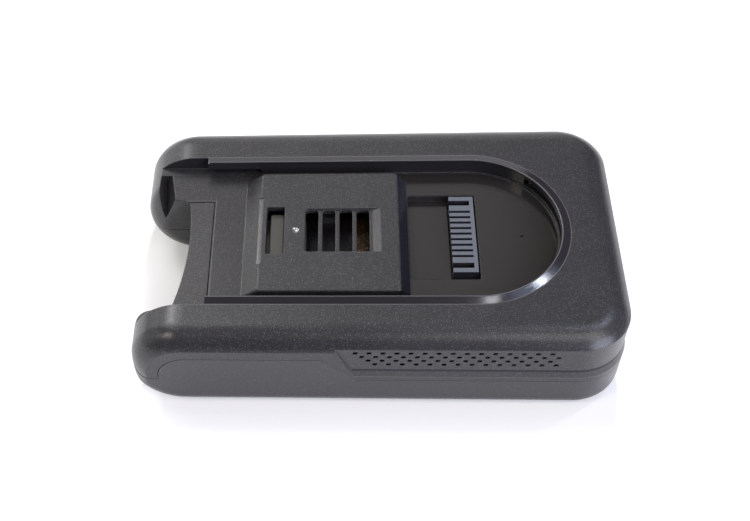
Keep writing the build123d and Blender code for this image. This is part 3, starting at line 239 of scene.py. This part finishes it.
def relief(tree, shader, height, strength, distance, normal=None):
    """Fine relief on the surface, on top of another normal if there is one."""
    inputs = {"Height": height, "Strength": strength, "Distance": distance}
    if normal is not None:
        inputs["Normal"] = normal
    bump = node(tree, "Bump", inputs)
    tree.links.new(bump.outputs[0], shader.inputs["Normal"])


grain, start, end = shader_group(
    "moulded_grain",
    [("Grain Scale", "Float", 2500.0), ("Cloud Scale", "Float", 60.0)],
    [("Height", "Float"), ("Cloud", "Float")],
)
spot = node(grain, "TexCoord", {}).outputs["Object"]
fine = node(grain, "TexNoise", {"Vector": spot, "Scale": start.outputs["Grain Scale"], "Detail": 3.0})
pits = node(grain, "TexVoronoi", {"Vector": spot, "Scale": start.outputs["Grain Scale"]})
cloud = node(grain, "TexNoise", {"Vector": spot, "Scale": start.outputs["Cloud Scale"], "Detail": 5.0})
height = maths(grain, "MULTIPLY_ADD", pits.outputs["Distance"], pit_share, fine.outputs["Fac"])
grain.links.new(height, end.inputs["Height"])
grain.links.new(cloud.outputs["Fac"], end.inputs["Cloud"])

cell_finish, tree, shader = finish("cell_sleeve_and_can", coat_weight=0.3, coat_roughness=0.15)
skin = placed(tree, grain, grain_scale=1800.0, cloud_scale=90.0)
bare = maths(tree, "GREATER_THAN", maths(tree, "ABSOLUTE", facing(tree)["Y"]), bare_end_slope)
sleeve = toned(tree, skin.outputs["Cloud"], *sleeve_colours)
cell_colour = toned(tree, bare, sleeve, can_colour)
surfaced(tree, shader, cell_colour, ranged(tree, skin.outputs["Cloud"], low=0.28, high=0.38))
tree.links.new(bare, shader.inputs["Metallic"])
relief(tree, shader, skin.outputs["Height"], strength=0.1, distance=0.00003)
wear(cell_finish, *["battery_cell_" + str(index + 1) for index in range(cell_count)])

# Cell holders: two black frames of flame-retardant plastic, one over each end of the row.
# They keep the cells apart and carry the circuit board on their upper edges.
holder_colours = (0.016, 0.016, 0.017), (0.026, 0.026, 0.027)
holder_finish, tree, shader = finish("holder_plastic", specular_ior_level=0.4)
skin = placed(tree, grain, grain_scale=1500.0, cloud_scale=80.0)
holder_colour = toned(tree, skin.outputs["Cloud"], *holder_colours)
surfaced(tree, shader, holder_colour, ranged(tree, skin.outputs["Cloud"], low=0.45, high=0.55))
relief(tree, shader, skin.outputs["Height"], strength=0.25, distance=0.00005)
wear(holder_finish, "cell_holder_front", "cell_holder_rear")

# Nickel strips: rolled sheet, stamped to shape and spot-welded to the cell ends.
# Each runs over two cells, and its tab is soldered to the edge of the board.
nickel_colours = (0.50, 0.47, 0.42), (0.62, 0.59, 0.54)
scratches, start, end = shader_group(
    "fine_scratches",
    [("Scale", "Float", 900.0), ("Stretch", "Vector", (1.0, 1.0, 30.0))],
    [("Height", "Float")],
)
spot = node(scratches, "TexCoord", {}).outputs["Object"]
pulled = node(scratches, "VectorMath", {0: spot, 1: start.outputs["Stretch"]}, operation="DIVIDE")
line_inputs = {"Vector": pulled.outputs[0], "Scale": start.outputs["Scale"], "Detail": 2.0}
lines = node(scratches, "TexNoise", line_inputs)
scratches.links.new(lines.outputs["Fac"], end.inputs["Height"])


def worked_metal(name, colours, cloud_scale, line_scale, stretch, roughness, strength, distance):
    """Bare metal in two close tones, with the fine lines that rolling, drawing or turning leaves."""
    material, tree, shader = finish(name, metallic=1.0)
    skin = placed(tree, grain, cloud_scale=cloud_scale)
    lines = placed(tree, scratches, scale=line_scale, stretch=stretch)
    colour = toned(tree, skin.outputs["Cloud"], *colours)
    surfaced(tree, shader, colour, ranged(tree, lines.outputs["Height"], *roughness))
    relief(tree, shader, lines.outputs["Height"], strength, distance)
    return material


strip_finish = worked_metal(
    "nickel_sheet", nickel_colours, cloud_scale=150.0, line_scale=2500.0, stretch=(30.0, 1.0, 1.0),
    roughness=(0.22, 0.40), strength=0.2, distance=0.00002,
)
wear(strip_finish, "nickel_strips_front", "nickel_strips_rear")

# Insulation: a sheet of grey-green pressed fibre over each row of strips.
# A paper of the same stuff lies between the cells and the board.
fibre_colours = (0.10, 0.13, 0.11), (0.19, 0.22, 0.19)
strand_share = 0.6


def fibrous(tree, strands, clouds):
    """Strands and clouds together, as fibre shows in a surface."""
    clouded = maths(tree, "MULTIPLY", clouds, 1.0 - strand_share)
    return maths(tree, "MULTIPLY_ADD", strands, strand_share, clouded)


fibre_finish, tree, shader = finish("pressed_fibre", specular_ior_level=0.25)
skin = placed(tree, grain, cloud_scale=300.0)
strands = placed(tree, scratches, scale=1500.0, stretch=(8.0, 8.0, 1.0))
fibre_mix = fibrous(tree, strands.outputs["Height"], skin.outputs["Cloud"])
fibre_colour = toned(tree, fibre_mix, *fibre_colours)
surfaced(tree, shader, fibre_colour, ranged(tree, skin.outputs["Cloud"], low=0.75, high=0.9))
relief(tree, shader, strands.outputs["Height"], strength=0.3, distance=0.00005)
wear(fibre_finish, "insulating_sheet_front", "insulating_sheet_rear", "insulating_paper")

# Circuit board: glass-fibre laminate with copper tracks under a dark brown lacquer.
# It lies over the cells and shows as brown specks through the vent; away from the vent's last slot its
# lacquer is painted near-black, as painted shade.
brown_from_x = -0.0070
track_scale = 420.0
track_gap, track_softness = 0.12, 0.2
track_colours = (0.0, 0.0, 0.0, 1), (0.35, 0.35, 0.35, 1)
track_gap_colour = (1, 1, 1, 1)
pad_scale = 700.0
pad_reach, brown_pad_reach = 0.07, 0.19
under_track_colour = (0.005, 0.0045, 0.005)
shade_and_brown_lacquer_colours = (0.006, 0.005, 0.006), (0.030, 0.017, 0.008)
pad_colour = (0.20, 0.11, 0.05)


def object_place(tree):
    """The place of a point in the pack in metres, as outputs X, Y and Z."""
    return node(tree, "SeparateXYZ", {0: node(tree, "TexCoord", {}).outputs["Object"]}).outputs


def under_vent(tree):
    """A mask of what lies under the last slot of the vent, where the board shows brown."""
    return maths(tree, "GREATER_THAN", object_place(tree)["X"], brown_from_x)


def stepped(tree, mask, plain, masked):
    """A value that goes from plain to masked with a mask."""
    return maths(tree, "MULTIPLY_ADD", mask, masked - plain, plain)


def specks(tree, scale, reach):
    """A mask of round specks; reach is how far they spread from their centres."""
    spot = node(tree, "TexCoord", {}).outputs["Object"]
    cells = node(tree, "TexVoronoi", {"Vector": spot, "Scale": scale})
    return maths(tree, "LESS_THAN", cells.outputs["Distance"], reach)


board_finish, tree, shader = finish("lacquered_board", specular_ior_level=0.25)
skin = placed(tree, grain, cloud_scale=400.0)
tracks = node(tree, "TexBrick", {
    "Vector": node(tree, "TexCoord", {}).outputs["Object"],
    "Scale": track_scale,
    "Mortar Size": track_gap,
    "Mortar Smooth": track_softness,
    "Color1": track_colours[0],
    "Color2": track_colours[1],
    "Mortar": track_gap_colour,
})
brown = under_vent(tree)
pads = specks(tree, pad_scale, stepped(tree, brown, pad_reach, brown_pad_reach))
# The near-black lacquer away from the last slot is painted shade; under that slot it is brown.
lacquer = toned(tree, tracks.outputs["Color"], under_track_colour, toned(tree, brown, *shade_and_brown_lacquer_colours))
board_colour = toned(tree, pads, lacquer, pad_colour)
surfaced(tree, shader, board_colour, ranged(tree, skin.outputs["Cloud"], low=0.3, high=0.45))
relief(tree, shader, tracks.outputs["Fac"], strength=0.4, distance=0.00004)
wear(board_finish, "circuit_board")

# Parts on the board: the controller and four power switches are moulded in black epoxy.
# The shunt is a bare resistance strip, and each piece is soldered to the board's top.
epoxy_colours = (0.006, 0.005, 0.006), (0.011, 0.010, 0.011)
brown_epoxy_colour = (0.030, 0.018, 0.008)
splash_scale = 1100.0
splash_reach, brown_splash_reach = 0.08, 0.20
splash_colour = (0.24, 0.13, 0.06)
shunt_colours = (0.36, 0.25, 0.18), (0.46, 0.34, 0.26)
epoxy_finish, tree, shader = finish("moulded_epoxy", specular_ior_level=0.2)
skin = placed(tree, grain, grain_scale=4000.0, cloud_scale=500.0)
brown = under_vent(tree)
splashes = specks(tree, splash_scale, stepped(tree, brown, splash_reach, brown_splash_reach))
epoxy_colour = toned(tree, skin.outputs["Cloud"], *epoxy_colours)
epoxy_colour = toned(tree, brown, epoxy_colour, brown_epoxy_colour)
epoxy_colour = toned(tree, splashes, epoxy_colour, splash_colour)
surfaced(tree, shader, epoxy_colour, ranged(tree, skin.outputs["Cloud"], low=0.5, high=0.62))
relief(tree, shader, skin.outputs["Height"], strength=0.3, distance=0.00003)
wear(epoxy_finish, "controller_chip", "power_switches")
shunt_finish = worked_metal(
    "resistance_strip", shunt_colours, cloud_scale=300.0, line_scale=3000.0, stretch=(1.0, 25.0, 1.0),
    roughness=(0.25, 0.42), strength=0.2, distance=0.00002,
)
wear(shunt_finish, "current_shunt")

# Fuse: a white ceramic tube, closed at both ends by tinned caps.
# The caps take up about a quarter of its length each.
cap_share = 0.24
tube_middle = 0.5
ceramic_colours = (0.62, 0.60, 0.55), (0.72, 0.70, 0.66)
cap_colour = (0.58, 0.58, 0.60)
fuse_finish, tree, shader = finish("fuse_ceramic_and_caps")
skin = placed(tree, grain, grain_scale=2600.0, cloud_scale=350.0)
along = node(tree, "SeparateXYZ", {0: node(tree, "TexCoord", {}).outputs["Generated"]}).outputs["Y"]
from_middle = maths(tree, "ABSOLUTE", maths(tree, "SUBTRACT", along, tube_middle))
capped = maths(tree, "GREATER_THAN", from_middle, tube_middle - cap_share)
fuse_colour = toned(tree, capped, toned(tree, skin.outputs["Cloud"], *ceramic_colours), cap_colour)
surfaced(tree, shader, fuse_colour, ranged(tree, skin.outputs["Cloud"], low=0.3, high=0.45))
tree.links.new(capped, shader.inputs["Metallic"])
relief(tree, shader, skin.outputs["Height"], strength=0.15, distance=0.00003)
wear(fuse_finish, "board_fuse")

# Capacitors: two aluminium cans in a black sleeve that leaves their tops bare.
# They stand on the board under the block.
bare_top_slope = 0.7
capacitor_sleeve_colours = (0.012, 0.012, 0.014), (0.022, 0.022, 0.026)
bare_top_colour = (0.62, 0.62, 0.63)
capacitor_finish, tree, shader = finish("capacitor_can_and_sleeve")
skin = placed(tree, grain, grain_scale=2000.0, cloud_scale=400.0)
top = maths(tree, "GREATER_THAN", facing(tree)["Z"], bare_top_slope)
sleeve = toned(tree, skin.outputs["Cloud"], *capacitor_sleeve_colours)
capacitor_colour = toned(tree, top, sleeve, bare_top_colour)
surfaced(tree, shader, capacitor_colour, ranged(tree, skin.outputs["Cloud"], low=0.25, high=0.4))
tree.links.new(top, shader.inputs["Metallic"])
relief(tree, shader, skin.outputs["Height"], strength=0.1, distance=0.00003)
wear(capacitor_finish, "board_capacitors")

# Board screws: small self-tapping screws of zinc-plated steel.
# They hold the board down on the cell holders.
zinc_colours = (0.40, 0.41, 0.43), (0.54, 0.55, 0.57)
zinc_finish = worked_metal(
    "zinc_plated_steel", zinc_colours, cloud_scale=500.0, line_scale=4000.0, stretch=(6.0, 6.0, 1.0),
    roughness=(0.25, 0.42), strength=0.15, distance=0.00002,
)
wear(zinc_finish, "board_screws")

# Connector: a comb moulded in bluish grey glass-filled plastic, standing on the board.
# Its teeth rise a little above the deck, and its slots open towards the open end.
tooth_face_skin = 0.00015
tooth_face_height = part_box("connector_body")[1][2] - tooth_face_skin
tooth_face_colours = (0.074, 0.081, 0.099), (0.108, 0.118, 0.139)
tooth_side_shade_colour = (0.020, 0.020, 0.028)
connector_finish, tree, shader = finish("glass_filled_plastic")
skin = placed(tree, grain, cloud_scale=260.0)
fibres = placed(tree, scratches, scale=2600.0, stretch=(1.0, 9.0, 1.0))
fibre_mix = fibrous(tree, fibres.outputs["Height"], skin.outputs["Cloud"])
# Below the tooth faces the comb is painted dark, as painted shade on its sides and in its slots.
shaded_below_face = maths(tree, "LESS_THAN", object_place(tree)["Z"], tooth_face_height)
comb_colour = toned(tree, shaded_below_face, toned(tree, fibre_mix, *tooth_face_colours), tooth_side_shade_colour)
surfaced(tree, shader, comb_colour, ranged(tree, skin.outputs["Cloud"], low=0.36, high=0.46))
relief(tree, shader, fibres.outputs["Height"], strength=0.25, distance=0.00003)
wear(connector_finish, "connector_body")

# Contacts: blades of copper alloy, one in each slot of the comb.
# They are stamped, tarnished to a dull brown, and sit low in their slots.
blade_colours = (0.20, 0.12, 0.06), (0.34, 0.22, 0.12)
blade_finish = worked_metal(
    "tarnished_copper_alloy", blade_colours, cloud_scale=600.0, line_scale=3000.0, stretch=(25.0, 1.0, 1.0),
    roughness=(0.3, 0.5), strength=0.2, distance=0.00002,
)
wear(blade_finish, "signal_contacts", "power_contacts")

# Lower housing: a tray injection-moulded in dark grey plastic, which carries the cells.
# Its skin is a little smoother than the upper housing's, and six screws close it from below.
lower_colours = (0.029, 0.028, 0.0305), (0.0355, 0.0345, 0.037)
fleck_colour = (0.13, 0.127, 0.13)
fleck_reach = 0.42
edge_start, edge_full = 0.998, 0.9
# Edges are lightened by this share and lift: partly wear, partly a painted highlight.
wear_and_highlight_share, wear_and_highlight_lift = 0.8, 2.8
roughness_spread = 0.03
grain_depth = 0.00004


def all_of(tree, *masks):
    """The product of masks: 1 where every one of them is 1."""
    product = masks[0]
    for mask in masks[1:]:
        product = maths(tree, "MULTIPLY", product, mask)
    return product


fleck, start, end = shader_group(
    "pigment_fleck", [("Scale", "Float", 4600.0), ("Share", "Float", 0.12)], [("Mask", "Float")]
)
spot = node(fleck, "TexCoord", {}).outputs["Object"]
grains = node(fleck, "TexVoronoi", {"Vector": spot, "Scale": start.outputs["Scale"]})
shade = node(fleck, "SeparateColor", {"Color": grains.outputs["Color"]}).outputs[0]
chosen = maths(fleck, "LESS_THAN", shade, start.outputs["Share"])
small = maths(fleck, "LESS_THAN", grains.outputs["Distance"], fleck_reach)
fleck.links.new(all_of(fleck, chosen, small), end.inputs["Mask"])

soft_edge, start, end = shader_group(
    "rounded_edge", [("Radius", "Float", 0.0003)], [("Normal", "Vector"), ("Mask", "Float")]
)
rounded = node(soft_edge, "Bevel", {"Radius": start.outputs["Radius"]}, samples=4).outputs[0]
flat = node(soft_edge, "NewGeometry", {}).outputs["Normal"]
bent = node(soft_edge, "VectorMath", {0: rounded, 1: flat}, operation="DOT_PRODUCT").outputs["Value"]
edge = node(soft_edge, "MapRange", {"Value": bent, "From Min": edge_start, "From Max": edge_full})
soft_edge.links.new(rounded, end.inputs["Normal"])
soft_edge.links.new(edge.outputs[0], end.inputs["Mask"])


def satin_plastic(name, colours, roughness, fleck_share, strength):
    """Dark satin plastic: two close greys in clouds, pigment fleck, fine grain, and edges lightened by wear
    and a painted highlight.
    """
    material, tree, shader = finish(name)
    skin = placed(tree, grain, grain_scale=3200.0, cloud_scale=55.0)
    flecks = placed(tree, fleck, share=fleck_share)
    edge = placed(tree, soft_edge, radius=0.0005)
    body = toned(tree, skin.outputs["Cloud"], *colours)
    body = toned(tree, flecks.outputs["Mask"], body, fleck_colour)
    # Lighter edges: wear, and a painted highlight along them.
    edge_wear_and_highlight = maths(tree, "MULTIPLY", edge.outputs["Mask"], wear_and_highlight_share)
    body = toned(tree, edge_wear_and_highlight, body, tuple(wear_and_highlight_lift * c for c in colours[1]))
    low, high = roughness - roughness_spread, roughness + roughness_spread
    rough = ranged(tree, skin.outputs["Cloud"], low, high)
    relief(tree, shader, skin.outputs["Height"], strength, grain_depth, edge.outputs["Normal"])
    return material, tree, shader, body, rough


lower_finish, tree, shader, body, rough = satin_plastic(
    "lower_plastic", lower_colours, roughness=0.30, fleck_share=0.10, strength=0.15
)
surfaced(tree, shader, body, rough)
wear(lower_finish, "lower_housing")

# Upper housing: one moulding with the channel, the block and the vent, in the same plastic.
# Its outside has a satin grain; the channel's walls, rim and floor come from a polished mould.
# Gaps, the crease, the vent holes and the slope past the block are painted darker, as painted shade; light
# lines on the rim, the ridge and the gap are painted highlights.
upper_colours = (0.0205, 0.0198, 0.0214), (0.0253, 0.0245, 0.0263)
polish_colours = (0.017, 0.016, 0.018), (0.022, 0.021, 0.024)
polish_roughness = 0.10
wall_shine = 0.45
deck_height, above_deck_by, below_deck_by = 0.02975, 0.0001, 0.0002
block_top, below_face_by, below_slopes_by = 0.03357, 0.0006, 0.0004
channel_half_width, arc_centre_x = 0.0283, 0.0318
wall_skin = 0.0006
rim_width, rim_foot_height = 0.0031, 0.0350
# Colour of the painted highlights along the lip and the rim's foot.
rim_highlight_colour = (0.085, 0.082, 0.090)
lip_line_out, lip_highlight_half = 0.0004, 0.00016
foot_highlight_half = 0.00014
flat_from, slope_from = 0.9, 0.2
slope_shade_colour = (0.012, 0.012, 0.017)
block_right_x = 0.0050
left_floor_shine = 0.4
left_floor_colours = (0.0290, 0.0272, 0.0277), (0.0350, 0.0333, 0.0338)
right_floor_colours = (0.0185, 0.0166, 0.0158), (0.0225, 0.0206, 0.0196)
block_room = 0.003
insert_line_y, insert_line_half = 0.0140, 0.00008
insert_line_share = 0.3
insert_line_colour = (0.012, 0.012, 0.013)
dimple_x, dimple_radius = -0.02635, 0.00115
dimple_colour = (0.42, 0.42, 0.43)
gate_x, gate_radius = 0.04815, 0.00048
gate_colour = (0.004, 0.004, 0.004)
plate_gap_x, plate_gap_y = -0.0544, 0.01565
gap_shade_width, gap_highlight_width = 0.0003, 0.0006
gap_highlight_colour = (0.085, 0.082, 0.086)
gap_shade_colour = (0.006, 0.006, 0.007)
panel_open_x = -0.0080
crease_height, crease_half = 0.0199, 0.0005
crease_shade_colour = (0.014, 0.013, 0.018)
crease_dullness = 0.6
ridge_height, ridge_half = 0.0168, 0.00012
ridge_highlight_colour = (0.075, 0.073, 0.080)
hole_row_x, hole_row_x_half = 0.0240, 0.0325
hole_row_y, hole_row_y_half = 0.04365, 0.00215
hole_row_z, hole_row_z_half = 0.0261, 0.0042
hole_shade_colour = (0.003, 0.003, 0.004)
plain_specular, dull_specular = 0.5, 0.15


def distance(tree, x, y):
    """The distance that two offsets make."""
    squares = [maths(tree, "MULTIPLY", offset, offset) for offset in (x, y)]
    return maths(tree, "SQRT", maths(tree, "ADD", *squares))


upper_finish, tree, shader, body, rough = satin_plastic(
    "upper_plastic", upper_colours, roughness=0.31, fleck_share=0.16, strength=0.25
)
polish_cloud = placed(tree, grain, cloud_scale=70.0).outputs["Cloud"]
upward = facing(tree)["Z"]
place = object_place(tree)
aside = maths(tree, "ABSOLUTE", place["Y"])

# Walls and rim of the channel, by their distance outside the line of its wall.
past_centre = maths(tree, "MAXIMUM", maths(tree, "SUBTRACT", place["X"], arc_centre_x), 0.0)
outside_wall = maths(tree, "SUBTRACT", distance(tree, past_centre, place["Y"]), channel_half_width)
in_channel = maths(tree, "LESS_THAN", outside_wall, -wall_skin)
from_wall = maths(tree, "GREATER_THAN", outside_wall, -wall_skin)
to_rim = maths(tree, "LESS_THAN", outside_wall, rim_width)
above_deck = maths(tree, "GREATER_THAN", place["Z"], deck_height + above_deck_by)
polished = all_of(tree, from_wall, to_rim, above_deck)

# Painted highlights: light lines along the lip and the foot of the rim.
lip_highlight = maths(tree, "COMPARE", outside_wall, lip_line_out, lip_highlight_half)
foot_highlight = maths(tree, "COMPARE", outside_wall, rim_width, foot_highlight_half)
rim_top = maths(tree, "GREATER_THAN", place["Z"], rim_foot_height)
rim_highlights = all_of(tree, maths(tree, "MAXIMUM", lip_highlight, foot_highlight), rim_top)

# Floor of the channel on both sides of the block, and the slopes past the block, painted dark and bluish as
# painted shade.
past_block = maths(tree, "GREATER_THAN", place["X"], block_right_x)
off_top = maths(tree, "LESS_THAN", place["Z"], block_top - below_slopes_by)
on_floor = all_of(tree, maths(tree, "GREATER_THAN", upward, flat_from), off_top, in_channel)
floor_polish = all_of(tree, on_floor, stepped(tree, past_block, left_floor_shine, 1.0))
left_floor = toned(tree, polish_cloud, *left_floor_colours)
right_floor = toned(tree, polish_cloud, *right_floor_colours)
not_flat = maths(tree, "LESS_THAN", upward, flat_from)
not_wall = maths(tree, "GREATER_THAN", upward, slope_from)
on_slope = all_of(tree, not_flat, not_wall, off_top, past_block, in_channel, above_deck)

# Block: the faint lines of a mould insert and the dimple. Deck: the mark of the gate.
on_face = maths(tree, "GREATER_THAN", place["Z"], block_top - below_face_by)
off_wall = maths(tree, "LESS_THAN", outside_wall, -block_room)
on_line = maths(tree, "COMPARE", aside, insert_line_y, insert_line_half)
insert_line = all_of(tree, on_line, on_face, off_wall, insert_line_share)
from_dimple = distance(tree, maths(tree, "SUBTRACT", place["X"], dimple_x), place["Y"])
in_dimple = all_of(tree, maths(tree, "LESS_THAN", from_dimple, dimple_radius), on_face)
from_gate = distance(tree, maths(tree, "SUBTRACT", place["X"], gate_x), place["Y"])
in_gate = maths(tree, "LESS_THAN", from_gate, gate_radius)

# Edge of the deck at the gap round the lever's plate: a light band along it is a painted highlight, and the
# darker band nearest the gap is painted shade.
gap_x = maths(tree, "SUBTRACT", place["X"], plate_gap_x)
gap_y = maths(tree, "SUBTRACT", place["Y"], plate_gap_y)
from_gap = maths(tree, "MAXIMUM", gap_x, gap_y)
from_deck_up = maths(tree, "GREATER_THAN", place["Z"], deck_height - below_deck_by)
on_deck = all_of(tree, from_deck_up, on_floor)
gap_highlight = all_of(tree, maths(tree, "LESS_THAN", from_gap, gap_highlight_width), on_deck)
gap_shade = all_of(tree, maths(tree, "LESS_THAN", from_gap, gap_shade_width), on_deck)

# Skirt: painted shade in the crease and inside the side vents' holes, and a painted highlight on the ridge
# below the crease.
on_skirt = maths(tree, "GREATER_THAN", place["X"], panel_open_x)
crease_shade = all_of(tree, maths(tree, "COMPARE", place["Z"], crease_height, crease_half), on_skirt)
ridge_highlight = all_of(tree, maths(tree, "COMPARE", place["Z"], ridge_height, ridge_half), on_skirt)
hole_along = maths(tree, "COMPARE", place["X"], hole_row_x, hole_row_x_half)
hole_deep = maths(tree, "COMPARE", aside, hole_row_y, hole_row_y_half)
hole_high = maths(tree, "COMPARE", place["Z"], hole_row_z, hole_row_z_half)
in_holes = all_of(tree, hole_along, hole_deep, hole_high)

# Coats of colour, each over the ones before it.
for mask, colour in (
    (insert_line, insert_line_colour),
    (polished, toned(tree, polish_cloud, *polish_colours)),
    (floor_polish, toned(tree, past_block, left_floor, right_floor)),
    (on_slope, slope_shade_colour),
    (rim_highlights, rim_highlight_colour),
    (in_gate, gate_colour),
    (crease_shade, crease_shade_colour),
    (ridge_highlight, ridge_highlight_colour),
    (gap_highlight, gap_highlight_colour),
    (gap_shade, gap_shade_colour),
    (in_holes, hole_shade_colour),
    (in_dimple, dimple_colour),
):
    body = toned(tree, mask, body, colour)

# Polish makes the skin smoother, and the holes and the crease lose gloss, which deepens their painted
# shade.
on_rim = maths(tree, "GREATER_THAN", outside_wall, lip_line_out)
rim_polish = all_of(tree, polished, stepped(tree, on_rim, wall_shine, 1.0))
polish = maths(tree, "MAXIMUM", rim_polish, maths(tree, "MAXIMUM", floor_polish, on_slope))
smoother = maths(tree, "SUBTRACT", polish_roughness, rough)
surfaced(tree, shader, body, maths(tree, "MULTIPLY_ADD", smoother, polish, rough))
dull = maths(tree, "MAXIMUM", in_holes, maths(tree, "MULTIPLY", crease_shade, crease_dullness))
tree.links.new(stepped(tree, dull, plain_specular, dull_specular), shader.inputs["Specular IOR Level"])
tree.links.new(in_dimple, shader.inputs["Metallic"])
wear(upper_finish, "upper_housing")

# Lever pin: a plain ground pin of steel, pressed into the lugs under the deck.
# The lever swings on its middle.
pin_colours = (0.44, 0.44, 0.45), (0.56, 0.56, 0.57)
pin_finish = worked_metal(
    "ground_steel", pin_colours, cloud_scale=300.0, line_scale=5000.0, stretch=(1.0, 1.0, 8.0),
    roughness=(0.18, 0.30), strength=0.1, distance=0.00001,
)
wear(pin_finish, "lever_pin")

# Release lever: a plate to press, an arm under the deck and a tongue in the window.
# It is moulded in one piece, in the plastic of the upper housing, a shade lighter.
# The tongue shows a warmer grey.
lever_colours = (0.0255, 0.0244, 0.0250), (0.0312, 0.0298, 0.0302)
tongue_from_x = -0.0370
tongue_colour = (0.050, 0.049, 0.042)
lever_finish, tree, shader, body, rough = satin_plastic(
    "lever_plastic", lever_colours, roughness=0.31, fleck_share=0.16, strength=0.25
)
on_tongue = maths(tree, "GREATER_THAN", object_place(tree)["X"], tongue_from_x)
surfaced(tree, shader, toned(tree, on_tongue, body, tongue_colour), rough)
wear(lever_finish, "release_lever")

# Lever spring: four turns of hard-drawn steel wire.
# It presses the lever's arm down from a seat under the block, and closes up as the lever is pressed; the
# coil drawn here keeps its rest shape.
wire_colours = (0.34, 0.34, 0.35), (0.48, 0.48, 0.49)
wire_radius = 0.00025
coil_turns, steps_per_turn, wire_sides = 4, 40, 12
spring_low, spring_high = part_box("lever_spring")
coil_radius = (spring_high[0] - spring_low[0]) / 2 - wire_radius
coil_axis = ((spring_low[0] + spring_high[0]) / 2, (spring_low[1] + spring_high[1]) / 2)
coil_foot, coil_head = spring_low[2] + wire_radius, spring_high[2] - wire_radius
wire_finish = worked_metal(
    "spring_wire", wire_colours, cloud_scale=500.0, line_scale=5000.0, stretch=(1.0, 1.0, 5.0),
    roughness=(0.22, 0.36), strength=0.1, distance=0.00001,
)
coil_steps = coil_turns * steps_per_turn
points, faces = [], []
for step in range(coil_steps + 1):
    turn = math.tau * step / steps_per_turn
    height = coil_foot + (coil_head - coil_foot) * step / coil_steps
    for side in range(wire_sides):
        round_wire = math.tau * side / wire_sides
        reach = coil_radius + wire_radius * math.cos(round_wire)
        x, y = coil_axis[0] + reach * math.cos(turn), coil_axis[1] + reach * math.sin(turn)
        points.append((x, y, height + wire_radius * math.sin(round_wire)))
for step in range(coil_steps):
    for side in range(wire_sides):
        a, b = step * wire_sides + side, step * wire_sides + (side + 1) % wire_sides
        faces.append((a, a + wire_sides, b + wire_sides, b))
faces.append(tuple(range(wire_sides)))
faces.append(tuple(coil_steps * wire_sides + side for side in reversed(range(wire_sides))))
coil_mesh = bpy.data.meshes.new("spring_coil")
coil_mesh.from_pydata(points, [], faces)
coil_mesh.shade_smooth()
coil_mesh.materials.append(wire_finish)
coil = bpy.data.objects.new("spring_coil", coil_mesh)
scene.collection.objects.link(coil)
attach(coil, "pack")
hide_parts("lever_spring")
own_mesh(coil)

# Housing screws: black steel screws with a six-lobed drive, driven up from below.
# Their heads lie deep in the counterbores of the lower housing.
screw_colours = (0.060, 0.060, 0.064), (0.10, 0.10, 0.106)
drive_radius, drive_lobe, drive_lobes = 0.00125, 0.00022, 6.0
drive_row_x = (0.06165, 0.00765, -0.04735)
drive_row_y = 0.040545
# The drive is a dent in the relief, painted near-black as painted shade in its recess.
drive_shade_colour = (0.008, 0.008, 0.009)
head_grain = 0.05
screw_finish, tree, shader = finish("blackened_steel", metallic=1.0)
skin = placed(tree, grain, grain_scale=3000.0, cloud_scale=400.0)
place = object_place(tree)
off_row = maths(tree, "SUBTRACT", maths(tree, "ABSOLUTE", place["Y"]), drive_row_y)
drive = 0.0
for x in drive_row_x:
    along = maths(tree, "SUBTRACT", place["X"], x)
    turn = maths(tree, "MULTIPLY", maths(tree, "ARCTAN2", off_row, along), drive_lobes)
    lobed = maths(tree, "MULTIPLY_ADD", maths(tree, "COSINE", turn), drive_lobe, drive_radius)
    inside = maths(tree, "LESS_THAN", distance(tree, along, off_row), lobed)
    drive = maths(tree, "MAXIMUM", inside, drive)
screw_colour = toned(tree, drive, toned(tree, skin.outputs["Cloud"], *screw_colours), drive_shade_colour)
surfaced(tree, shader, screw_colour, ranged(tree, skin.outputs["Cloud"], low=0.3, high=0.42))
sunk = maths(tree, "SUBTRACT", maths(tree, "MULTIPLY", skin.outputs["Height"], head_grain), drive)
relief(tree, shader, sunk, strength=0.8, distance=0.0002)
wear(screw_finish, "housing_screws")
